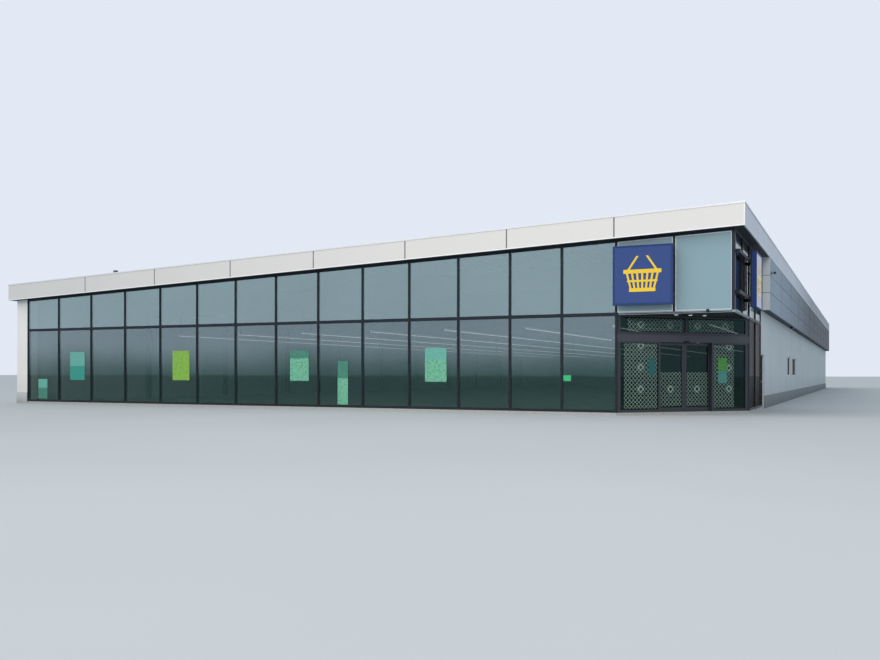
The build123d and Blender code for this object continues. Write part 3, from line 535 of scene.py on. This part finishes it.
def finishPiece(piece, finishNames, body="building", bevel=0.0):
    for name in finishNames:
        piece.data.materials.append(finishes[name])
    if bevel:
        adjust(piece.modifiers.new("soften", "BEVEL"), width=bevel, segments=2, limit_method="ANGLE",
               angle_limit=math.radians(40))
    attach(piece, body)


def closeShape(shape, name):
    bmesh.ops.recalc_face_normals(shape, faces=shape.faces)
    mesh = bpy.data.meshes.new(name)
    shape.to_mesh(mesh)
    shape.free()
    return addObject(name, mesh)


# Helpers for geometry nodes

def startTree(name, sockets):
    tree = bpy.data.node_groups.new(name, "GeometryNodeTree")
    tree.is_modifier = True
    for label, kind in {**sockets, "Finish": "Material"}.items():
        tree.interface.new_socket(label, in_out="INPUT", socket_type="NodeSocket" + kind)
    tree.interface.new_socket("Geometry", in_out="OUTPUT", socket_type="NodeSocketGeometry")
    return addNode(tree, "NodeGroupInput").outputs


def endTree(made, given):
    whole = wire("GeometryNodeRealizeInstances", {"Geometry": made})
    painted = wire("GeometryNodeSetMaterial", {"Geometry": whole, "Material": given["Finish"]})
    addNode(made.id_data, "NodeGroupOutput", {"Geometry": painted})
    return made.id_data


def grow(name, tree, values, place=None):
    # runs a tree once and keeps its result as a plain mesh
    piece = addObject(name, bpy.data.meshes.new(name))
    modifier = piece.modifiers.new("grow", "NODES")
    modifier.node_group = tree
    for item in tree.interface.items_tree:
        if item.item_type == "SOCKET" and item.in_out == "INPUT":
            modifier[item.identifier] = values[item.name]
    grown = bpy.data.meshes.new_from_object(piece.evaluated_get(bpy.context.evaluated_depsgraph_get()))
    piece.modifiers.remove(modifier)
    if place is not None:
        grown.transform(place)
    piece.data = grown
    return piece


def scatter(points, item, **turned):
    return wire("GeometryNodeInstanceOnPoints", {"Points": points, "Instance": item, **turned})


def pointGrid(count, start, step, rows, rowStep):
    # points in two directions: count along step, repeated rows times along rowStep
    one = wire("GeometryNodeMeshLine", {"Count": count, "Start Location": start, "Offset": step},
               mode="OFFSET")
    other = wire("GeometryNodeMeshLine", {"Count": rows, "Offset": rowStep}, mode="OFFSET")
    return wire("GeometryNodeRealizeInstances", {"Geometry": scatter(other, one)})


def triple(x=0.0, y=0.0, z=0.0):
    return wire("ShaderNodeCombineXYZ", {"X": x, "Y": y, "Z": z})


def itemRows(name, sockets, makeItem):
    # equal items at equal steps
    given = startTree(name, {"Count": "Int", "Step": "Vector", "Rows": "Int", "Row Step": "Vector",
                             "Start": "Vector", **sockets})
    item, turned = makeItem(given)
    points = pointGrid(*[given[key] for key in ("Count", "Start", "Step", "Rows", "Row Step")])
    return endTree(scatter(points, item, **turned), given)


def makeBar(given):
    return wire("GeometryNodeMeshCube", {"Size": given["Size"]}), {}


def makeRivet(given):
    # low domed head, turned to face the way Facing says
    dome = wire("GeometryNodeMeshUVSphere", {"Segments": 8, "Rings": 5, "Radius": given["Radius"]})
    turn = wire("FunctionNodeAlignRotationToVector", {"Vector": given["Facing"]}, axis="Z")
    return wire("GeometryNodeTransform", {"Geometry": dome, "Scale": (1, 1, 0.45)}), {"Rotation": turn}


net = {"acrossLarge": 8.0, "upLarge": 5.0, "largeSize": 0.82, "largeBar": 2.2, "largeThick": 1.4,
       "overlap": 0.3}


def latticeFilm():
    # cut film: a net of small diamonds, with a larger framed one every few cells
    given = startTree("lattice film", {
        "Columns": "Int", "Lines": "Int", "Cell": "Float", "Bar": "Float", "Thickness": "Float",
        "Large Columns": "Int", "Large Lines": "Int", "Large Start": "Vector"})
    cell, bar, thickness = given["Cell"], given["Bar"], given["Thickness"]

    def times(value, factor):
        return sums("MULTIPLY", value, factor)

    def diamond(radius, width, thick):
        line = wire("GeometryNodeCurvePrimitiveCircle", {"Resolution": 4, "Radius": radius})
        section = wire("GeometryNodeCurvePrimitiveQuadrilateral", {"Width": width, "Height": width})
        ring = wire("GeometryNodeCurveToMesh", {"Curve": line, "Profile Curve": section})
        thin = triple(1.0, 1.0, sums("DIVIDE", thick, width))
        return wire("GeometryNodeTransform", {"Geometry": ring, "Scale": thin})

    half = times(cell, 0.5)
    small = pointGrid(given["Columns"], triple(half, half), triple(cell), given["Lines"], triple(0.0, cell))
    ring = diamond(sums("SUBTRACT", half, times(bar, net["overlap"])), bar, thickness)
    large = pointGrid(given["Large Columns"], given["Large Start"], triple(times(cell, net["acrossLarge"])),
                      given["Large Lines"], triple(0.0, times(cell, net["upLarge"])))
    wide = diamond(times(cell, net["largeSize"]), times(bar, net["largeBar"]),
                   times(thickness, net["largeThick"]))
    joined = addNode(given["Cell"].id_data, "GeometryNodeJoinGeometry")
    for points, item in ((small, ring), (large, wide)):
        feed(joined, {0: scatter(points, item)})
    return endTree(joined.outputs[0], given)


bars = itemRows("bar rows", {"Size": "Vector"}, makeBar)
rivets = itemRows("rivet rows", {"Radius": "Float", "Facing": "Vector"}, makeRivet)
lattice = latticeFilm()
print("trees ready")


def layBars(name, finishName, count, start, step, size, rows=1, rowStep=(0, 0, 0)):
    # one piece of equal bars at equal steps, repeated rows times along rowStep
    finishPiece(grow(name, bars, {"Count": count, "Start": start, "Step": step, "Size": size, "Rows": rows,
                                  "Row Step": rowStep, "Finish": finishes[finishName]}), [])


# Roof edge: folded coping with seam covers, a bright drip edge and corner angles
coping = {"outer": 0.008, "inner": -0.033, "ridge": 0.0203, "ridgeAt": -0.0125, "edge": 0.016, "lip": -0.014,
          "sheet": 0.002, "seamStep": 2.95, "seamSize": 0.03, "seamHeight": 0.004, "seamShort": 0.001,
          "seamSunk": 0.0012, "endSeams": 6, "endStart": 1.1, "sideSeams": 13, "sideStart": 1.9}


def makeCoping():
    shape = bmesh.new()
    outer, inner, sheet = coping["outer"], coping["inner"], coping["sheet"]
    lip, rim = coping["lip"], coping["edge"]
    profile = [(outer, lip), (outer, rim), (coping["ridgeAt"], coping["ridge"]), (inner, rim), (inner, lip),
               (inner + sheet, lip), (inner + sheet, 0.0), (outer - sheet, 0.0), (outer - sheet, lip)]
    roundEdge(shape, profile, lambda x: eave(x) + panelHeight)
    piece = closeShape(shape, "folded_coping")
    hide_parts("end_copings", "side_copings")
    finishPiece(piece, ["folded coping"], bevel=0.0012)


def makeCopingSeams():
    width = coping["outer"] - coping["inner"] - coping["seamShort"]
    middle = (coping["outer"] + coping["inner"]) / 2
    size, height, step = coping["seamSize"], coping["seamHeight"], coping["seamStep"]

    def seamAt(x):
        return eave(x) + panelHeight + coping["ridge"] - coping["seamSunk"]

    x = left + coping["endStart"]
    layBars("coping_seams_ends", "folded coping", coping["endSeams"],
            (x, outFront - middle, seamAt(x)), (step, 0, step * pitch), (size, width, height),
            rows=2, rowStep=(0, outBack - outFront + 2 * middle, 0))
    for name, x in (("coping_seams_left", left - middle), ("coping_seams_right", outRight + middle)):
        layBars(name, "folded coping", coping["sideSeams"],
                (x, outFront + coping["sideStart"], seamAt(x)), (0, step, 0), (width, size, height))


edge = {"proud": 0.0042, "drop": 0.003, "height": 0.015, "angleLeg": 0.016, "angleProud": 0.003,
        "angleShort": 0.014}


def makeEdges():
    shape = bmesh.new()
    roundEdge(shape, rectangle((0, edge["proud"]), (-edge["drop"], edge["height"])), eave)
    leg, out = edge["angleLeg"], edge["angleProud"]
    for x, y, dx, dy in roofCorners:
        plan = [(x + dx * a, y + dy * b)
                for a, b in ((-leg, 0), (-leg, out), (out, out), (out, -leg), (0, -leg), (0, 0))]
        upright(shape, plan, eave(x) + edge["height"], eave(x) + panelHeight - edge["angleShort"])
    finishPiece(closeShape(shape, "fascia_edges"), ["bright edge"], bevel=0.0008)


makeCoping()
makeCopingSeams()
makeEdges()
print("roof edge made")


# Open joints between fascia panels, lined with a dark strip that is partly a liner and partly painted shade
# in the groove
liner = {"width": 0.0236, "thickness": 0.002, "depth": 0.0098, "short": 0.02, "step": 2.1, "endCount": 6,
         "sideCount": 19}


def makeJointLiners():
    height = panelHeight - liner["short"]
    middle = eaveLow + panelHeight / 2
    for name, count, start in (("joint_strips_ends", liner["endCount"], posts["first"] + liner["step"]),
                               ("joint_strips_corner", 1, cornerPost)):
        layBars(name, "joint strip", count,
                (start, outFront + liner["depth"], middle + pitch * (start - left)),
                (liner["step"], 0, liner["step"] * pitch), (liner["width"], liner["thickness"], height),
                rows=2, rowStep=(0, outBack - outFront - 2 * liner["depth"], 0))
    step = (outBack - outFront) / liner["sideCount"]
    for name, x, turn in (("joint_strips_left", left, 1), ("joint_strips_right", outRight, -1)):
        layBars(name, "joint strip", liner["sideCount"] - 1,
                (x + turn * liner["depth"], outFront + step, middle + pitch * (x - left)), (0, step, 0),
                (liner["thickness"], liner["width"], height))


makeJointLiners()


# Window bars: a narrow cover on each bar and a rubber line round each pane
cover = {"half": 0.011, "proud": 0.005, "levelHalf": 0.008, "footFrom": 0.012, "footTo": 0.03,
         "low": 0.002, "under": 0.003, "rubber": 0.005, "rubberFrom": 0.003, "glassAt": 0.012,
         "sideIn": 0.075}


def makeWindowTrim():
    covers, rubber = bmesh.new(), bmesh.new()
    half, gap, middle = cover["half"], posts["half"], posts["middle"]
    sill, (transomLow, transomHigh) = posts["sill"], posts["transom"]
    level = (middle - cover["levelHalf"], middle + cover["levelHalf"])
    sideHead = eave(right - cover["sideIn"])

    def bar(place, a, b, height):
        plate(covers, place, (a, b), height, (-cover["proud"], 0.0))

    def ring(place, a, b, base, head):
        paneRing(rubber, place, (a + gap, b - gap), base, head, cover["rubber"],
                 (cover["rubberFrom"], cover["glassAt"]))

    for x in frontPosts[:-1]:
        start = groundFloor + cover["low"] if x <= cornerPost else middle
        bar(onFront, x - half, x + half, (start, eave(x) - cover["under"]))
    for a, b in zip(frontPosts, frontPosts[1:]):
        bar(onFront, a + half, b - half, level)
        if b <= cornerPost:
            bar(onFront, a + half, b - half, (groundFloor + cover["footFrom"], groundFloor + cover["footTo"]))
            ring(onFront, a, b, sill, lambda x: transomLow)
            ring(onFront, a, b, transomHigh, lambda x: eave(x) - posts["topRail"])
    for y in upperSidePosts[1:-1]:
        bar(onSide, y - half, y + half, (middle, sideHead - cover["under"]))
    for a, b in zip(upperSidePosts, upperSidePosts[1:]):
        bar(onSide, a + half, b - half, level)
        ring(onSide, a, b, transomHigh, lambda y: sideHead - posts["topRail"])
    for a, b in zip(lowerSidePosts, lowerSidePosts[1:]):
        bar(onSide, a - half, a + half, (groundFloor + cover["low"], middle))
        ring(onSide, a, b, sill, lambda y: transomLow)
    finishPiece(closeShape(covers, "bar_covers"), ["frame coat"], bevel=0.0012)
    finishPiece(closeShape(rubber, "pane_rubbers"), ["rubber"])


makeWindowTrim()


# Bridging corner: pale trims round the two closed panels, and lenses on the lamps below
corner = {"trim": 0.017, "depth": (0.004, 0.012), "lampRadius": 0.031, "lampPitch": 0.30, "lampShift": -0.24,
          "lampOut": 0.48, "lensShare": 0.8, "lensDrop": 0.0025, "lensSunk": 0.001, "lensCorners": 24}


def makeCornerTrim():
    shape = bmesh.new()
    for a, b in zip(frontPosts[-3:], frontPosts[-2:]):
        paneRing(shape, onFront, (a + posts["half"], b - posts["half"]), posts["transom"][1],
                 lambda x: eave(x) - posts["topRail"], corner["trim"], corner["depth"])
    finishPiece(closeShape(shape, "panel_trims"), ["pale edge"], bevel=0.001)

    lens = bmesh.new()
    lampLine = portalStart + along * (portalLength / 2 + corner["lampShift"]) + outward * corner["lampOut"]
    low, radius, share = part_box("downlights")[0].z, corner["lampRadius"], corner["lensShare"]
    turns = [math.tau * i / corner["lensCorners"] for i in range(corner["lensCorners"])]
    rim = [(radius * math.cos(turn), radius * math.sin(turn)) for turn in turns]
    for step in (-1, 0, 1):
        x, y = (lampLine + along * (corner["lampPitch"] * step)).xy
        solid(lens, [(x + share * a, y + share * b, low - corner["lensDrop"]) for a, b in rim],
              [(x + a, y + b, low + corner["lensSunk"]) for a, b in rim])
    finishPiece(closeShape(lens, "downlight_lenses"), ["lamp cover"])


makeCornerTrim()
print("window trim made")


# Light boxes: a smooth face inside the raised rim, with a plain basket drawn on it
signFace = {"rim": 0.022, "rimDepth": 0.009, "gap": 0.005, "raise": 0.002, "sheet": 0.0015,
            "rubber": 0.0005, "drawingUp": 0.03}
basket = {"size": 0.98, "bars": [((-0.34, 0.34), (0.0, 0.07)), ((-0.27, 0.27), (-0.155, -0.12)),
                                 ((-0.235, 0.235), (-0.33, -0.265))],
          "barProud": 0.0004, "ribs": 7, "ribWidth": 0.036, "ribReach": 0.275, "ribFoot": -0.265,
          "footShare": 0.76, "handle": 0.042, "handleFrom": (-0.245, 0.07), "handleTo": (-0.085, 0.31)}


def makeSignFace(name, node, place, start):
    # depth grows inward, so the rim's front is the sign's outermost face
    low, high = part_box(node)
    base, size = low.z, high.z - low.z
    outer = low.y - front if place is onFront else right - high.x
    faceAt = outer + signFace["rimDepth"]
    sheetAt = faceAt - signFace["sheet"]
    shape = bmesh.new()
    rim, gap = signFace["rim"], signFace["gap"]
    plate(shape, place, (start + rim + gap, start + size - rim - gap),
          (base + rim + gap, base + size - rim - gap), (sheetAt, faceAt))
    paneRing(shape, place, (start + rim, start + size - rim), base + rim, lambda x: base + size - rim,
             gap, (faceAt - signFace["rubber"], faceAt), 1)
    middle, level = start + size / 2, base + size / 2 + signFace["drawingUp"]
    scale = basket["size"] * (size - 2 * rim)

    def draw(outline, turn=1, proud=0.0):
        near, far = [[place(middle + turn * a * scale, level + h * scale, depth) for a, h in outline]
                     for depth in (sheetAt - signFace["raise"] - proud, sheetAt)]
        solid(shape, near, far, 2)

    for across, up in basket["bars"]:
        draw(rectangle(across, up), proud=basket["barProud"])
    for i in range(basket["ribs"]):
        top = -basket["ribReach"] + 2 * basket["ribReach"] * i / (basket["ribs"] - 1)
        foot, half, down = top * basket["footShare"], basket["ribWidth"] / 2, basket["ribFoot"]
        draw([(top - half, 0.0), (top + half, 0.0), (foot + half, down), (foot - half, down)])
    for turn in (-1, 1):
        half, (a, c), (b, d) = basket["handle"] / 2, basket["handleFrom"], basket["handleTo"]
        draw([(a - half, c), (a + half, c), (b + half, d), (b - half, d)], turn)
    finishPiece(closeShape(shape, name), ["sign face", "rubber", "basket yellow"])


low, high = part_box("front_sign")
makeSignFace("front_sign_face", "front_sign", onFront, low.x)
makeSignFace("side_sign_face", "side_sign", onSide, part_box("side_sign")[1].y - (high.z - low.z))
print("signs made")


# Entrance: lattice film, pane rubbers and threshold. Ranges run along the entrance from its left post.
# films: name, start, columns, base, lines, the larger diamonds' start, columns, base and lines, leaf
doorway = {"cell": 0.0774, "bar": 0.0085, "film": 0.0009, "leafGlass": 0.076, "fixedGlass": 0.012,
           "films": [("film_left_light", 0.168, 9, 0.117, 15, 0.5163, 1, 0.4653, 3, 0),
                     ("film_right_light", 2.092, 6, 0.117, 15, 2.4403, 1, 0.4653, 3, 0),
                     ("film_top_left", 0.2454, 15, 1.501, 3, 0.5163, 2, 1.6171, 1, 0),
                     ("film_top_right", 1.543, 13, 1.501, 3, 1.7365, 2, 1.6171, 1, 0),
                     ("film_left_leaf", 0.9625, 6, 0.152, 8, 1.1947, 1, 0.4616, 1, 1),
                     ("film_right_leaf", 1.542, 6, 0.152, 8, 1.7742, 1, 0.4616, 1, 2)],
           "fixedPanes": [(0.09, 0.8825, 0.095, 1.284), (2.0855, 2.81, 0.095, 1.284),
                          (0.09, 1.464, 1.485, 1.749), (1.504, 2.81, 1.485, 1.749)],
           "leafPanes": [("left_leaf_beads", 0.9525, 1.436), ("right_leaf_beads", 1.532, 2.0155)],
           "leafBase": 0.126, "leafHead": 1.259, "bead": 0.007,
           "beadDepths": [(0.070, 0.076), (0.090, 0.096)],
           "threshold": 0.0008, "track": (0.064, 0.125), "trackEnds": (0.095, 0.1),
           "sillAcross": (0.94, 2.03), "sillDepth": (0.003, 0.060)}
doorBodies = ["building", "left_door_leaf", "right_door_leaf"]


def filmOn(name, start, columns, base, lines, largeStart, largeColumns, largeBase, largeLines, leaf):
    depth = doorway["leafGlass"] if leaf else doorway["fixedGlass"]
    place = Matrix((along, Vector((0, 0, 1)), outward)).transposed().to_4x4()
    place.translation = onPortal(start, base, depth - doorway["film"])
    piece = grow(name, lattice, {"Columns": columns, "Lines": lines, "Cell": doorway["cell"],
                                 "Bar": doorway["bar"], "Thickness": doorway["film"],
                                 "Large Columns": largeColumns, "Large Lines": largeLines,
                                 "Large Start": (largeStart - start, largeBase - base, 0),
                                 "Finish": finishes["cut film"]}, place)
    finishPiece(piece, [], doorBodies[leaf])


def makeDoorway():
    for film in doorway["films"]:
        filmOn(*film)

    rubber = bmesh.new()
    for a, b, base, head in doorway["fixedPanes"]:
        paneRing(rubber, onPortal, (a, b), base, lambda u: head, cover["rubber"],
                 (cover["rubberFrom"], doorway["fixedGlass"]))
    finishPiece(closeShape(rubber, "portal_rubbers"), ["rubber"])
    for (name, a, b), body in zip(doorway["leafPanes"], doorBodies[1:]):
        beads = bmesh.new()
        for depth in doorway["beadDepths"]:
            paneRing(beads, onPortal, (a, b), doorway["leafBase"], lambda u: doorway["leafHead"],
                     doorway["bead"], depth)
        finishPiece(closeShape(beads, name), ["rubber"], body)

    sill = bmesh.new()
    height = (groundFloor, groundFloor + doorway["threshold"])
    first, last = doorway["trackEnds"]
    plate(sill, onPortal, (first, portalLength - last), height, doorway["track"])
    plate(sill, onPortal, doorway["sillAcross"], height, doorway["sillDepth"])
    finishPiece(closeShape(sill, "door_threshold"), ["bare aluminium"])


makeDoorway()


# Poster papers: name, colour, ink and how much of the ink shows. The last three are darker copies for the
# entrance: painted shade
prints = [("print teal", (40, 150, 134), (34, 130, 120), 0.5),
          ("print pale teal", (100, 174, 160), (80, 150, 140), 0.5),
          ("print leaf green", (134, 184, 66), (72, 128, 58), 0.6),
          ("print mint", (112, 184, 152), (48, 112, 92), 0.6),
          ("print deep green", (54, 122, 106), (90, 156, 132), 0.5),
          ("print teal in painted shade", (14, 92, 90), (30, 70, 80), 0.5),
          ("print green in painted shade", (70, 142, 56), (40, 100, 50), 0.6),
          ("print pale teal in painted shade", (66, 136, 128), (44, 108, 104), 0.5)]
# posters: on which face, the depth of their backs, and each one's range across, heights, lower paper,
# upper paper and the share of the upper one
posters = {"lowerSheet": 0.0008, "upperSheet": 0.001, "places": [
    (onFront, 0.0118, [
        ((-7.757, -7.453), (0.125, 0.60), 4, 1, 0.45), ((-6.70, -6.23), (0.58, 1.245), 0, 1, 0.5),
        ((-3.565, -3.086), (0.585, 1.24), 2, 2, 0.2), ((-0.413, 0.047), (0.585, 1.217), 3, 4, 0.26),
        ((0.745, 0.987), (0.11, 0.992), 3, 4, 0.4), ((2.721, 3.181), (0.581, 1.23), 3, 1, 0.35)]),
    (onPortal, 0.0102, [
        ((0.677, 0.824), (0.722, 1.011), 5, 5, 0.5), ((2.195, 2.396), (0.80, 1.036), 6, 6, 0.5),
        ((2.195, 2.396), (0.574, 0.791), 7, 7, 0.5)])]}
exitLamp = {"box": ((5.4955, 5.64), (0.603, 0.712), (0.036, 0.058)),
            "cover": ((5.502, 5.634), (0.609, 0.706), (0.0355, 0.036))}


def makePosters():
    for paper in prints:
        printedSheet(*paper)
    shape = bmesh.new()
    for place, back, sheets in posters["places"]:
        for across, (low, high), lower, upper, share in sheets:
            parting = high - (high - low) * share
            plate(shape, place, across, (low, parting), (back - posters["lowerSheet"], back), lower)
            plate(shape, place, across, (parting, high), (back - posters["upperSheet"], back), upper)
    finishPiece(closeShape(shape, "window_posters"), [paper[0] for paper in prints])

    # blank lit box on the inner side of a window bar
    lamp = bmesh.new()
    plate(lamp, onFront, *exitLamp["box"])
    plate(lamp, onFront, *exitLamp["cover"], 1)
    finishPiece(closeShape(lamp, "exit_sign"), ["white coat", "exit green"], bevel=0.0008)


makePosters()
print("entrance made")


# Inside and on the roof: lamp covers, deck ribs, weld strips
hall = {"lampRows": 8, "rowHalf": 0.03, "lampPitch": 0.75, "lampSize": (0.042, 0.71, 0.008),
        "lampDrop": 0.003, "deckLift": 0.225, "deckThick": 0.1,
        "ribStart": 0.3, "ribEnd": 0.2, "ribStep": 0.15, "ribWidth": 0.075, "ribDepth": 0.03, "ribShort": 0.5,
        "welds": 17, "weldStart": 0.5, "weldStep": 1.0, "weldWidth": 0.035, "weldHeight": 0.004,
        "weldProud": 0.0012, "weldShort": 0.02}


def makeHall():
    low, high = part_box("ceiling_lights")
    rowStep = (high.x - low.x - 2 * hall["rowHalf"]) / (hall["lampRows"] - 1)
    layBars("lamp_covers", "lamp cover", int((high.y - low.y) / hall["lampPitch"]),
            (low.x + hall["rowHalf"], low.y + hall["lampPitch"] / 2, low.z - hall["lampDrop"]),
            (0, hall["lampPitch"], 0), hall["lampSize"], hall["lampRows"], (rowStep, 0, 0))

    low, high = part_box("roof_deck")
    middle, length = (low.y + high.y) / 2, high.y - low.y
    deckUnder = eave(left) + hall["deckLift"]
    start, step = left + hall["ribStart"], hall["ribStep"]
    layBars("deck_ribs", "deck underside", int((high.x - start - hall["ribEnd"]) / step),
            (start, middle, deckUnder + pitch * (start - left) - hall["ribDepth"] / 2),
            (step, 0, step * pitch), (hall["ribWidth"], length - hall["ribShort"], hall["ribDepth"]))
    start, step = hall["weldStart"], hall["weldStep"]
    layBars("weld_strips", "roofing sheet", hall["welds"],
            (left + start, middle, deckUnder + hall["deckThick"] + pitch * start + hall["weldProud"]),
            (step, 0, step * pitch), (hall["weldWidth"], length - hall["weldShort"], hall["weldHeight"]))


makeHall()


# Right and rear side: cover strips, rivets and joint lines on the cladding, window sills, the lamp's lens
cladding = {"step": 3.0, "half": 0.011, "proud": 0.003, "under": 0.004, "backStrips": 5, "course": 0.36,
            "lineIn": 0.0065, "lineUp": 0.005, "line": (0.002, 0.0098), "lineShort": 0.03,
            "returnShort": 0.014, "rivet": 0.004, "rivetStep": 0.12, "rivetStart": 0.05, "rivetEnd": 0.06}


def makeCladdingStrips():
    shape = bmesh.new()
    base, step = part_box("right_cladding")[0].z, cladding["step"]
    half, out = cladding["half"], cladding["proud"]
    count = int((outBack - wallStart) / step)
    for i in range(count):
        y = wallStart + step * (i + 1)
        upright(shape, rectangle((outRight, outRight + out), (y - half, y + half)), base,
                eave(outRight) - cladding["under"])
    for i in range(cladding["backStrips"]):
        x = left + step * (i + 1)
        upright(shape, rectangle((x - half, x + half), (outBack, outBack + out)), base,
                eave(x) - cladding["under"])
    # the strips wear the cladding's finish, with its painted reflection
    finishPiece(closeShape(shape, "cladding_strips"), ["silver cladding with painted light"], bevel=0.0008)
    thin, high = cladding["line"]
    sunk, short = cladding["lineIn"], cladding["lineShort"]
    for name, x, y, size in (
            ("cladding_lines_side", outRight - sunk, (wallStart + outBack) / 2,
             (thin, outBack - wallStart - short, high)),
            ("cladding_lines_front", (right + outRight) / 2, wallStart + sunk,
             (outRight - right - cladding["returnShort"], thin, high)),
            ("cladding_lines_back", (left + outRight) / 2, outBack - sunk,
             (outRight - left - short, thin, high))):
        layBars(name, "rubber", 2, (x, y, base + cladding["course"] + cladding["lineUp"]),
                (0, 0, cladding["course"]), size)
    finishPiece(grow("cladding_rivets", rivets, {
        "Count": int((eave(outRight) - base - cladding["rivetEnd"]) / cladding["rivetStep"]),
        "Step": (0, 0, cladding["rivetStep"]), "Rows": count, "Row Step": (0, step, 0),
        "Start": (outRight + out, wallStart + step, base + cladding["rivetStart"]),
        "Radius": cladding["rivet"], "Facing": (1, 0, 0), "Finish": finishes["bare aluminium"]}),
                [])


# windows: how far behind the front each one starts, and its width. profile: depths and heights
sills = {"windows": [(11.30, 1.30), (13.25, 1.75)], "past": 0.006,
         "profile": [(0.030, 0.700), (-0.010, 0.694), (-0.010, 0.685), (-0.006, 0.685), (-0.006, 0.6905),
                     (0.030, 0.6955)]}


def makeSills():
    shape = bmesh.new()
    for start, width in sills["windows"]:
        a, b = front + start, front + start + width
        solid(shape, [onSide(a - sills["past"], z, d) for d, z in sills["profile"]],
              [onSide(b + sills["past"], z, d) for d, z in sills["profile"]])
    finishPiece(closeShape(shape, "window_sills"), ["white coat"], bevel=0.0008)


wallLens = {"inX": 0.012, "inY": 0.02, "shareX": 0.85, "shareY": 0.9, "drop": 0.004, "sunk": 0.001}


def makeLampLens():
    low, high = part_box("wall_lamp")
    shape = bmesh.new()
    outline = rectangle((low.x + wallLens["inX"], high.x - wallLens["inX"]),
                        (low.y + wallLens["inY"], high.y - wallLens["inY"]))
    midX, midY = ((low + high) / 2).xy
    solid(shape, [(midX + (x - midX) * wallLens["shareX"], midY + (y - midY) * wallLens["shareY"],
                   low.z - wallLens["drop"]) for x, y in outline],
          [(x, y, low.z + wallLens["sunk"]) for x, y in outline])
    finishPiece(closeShape(shape, "wall_lamp_lens"), ["smoked lens"])


makeCladdingStrips()
makeSills()
makeLampLens()
print("sides made")
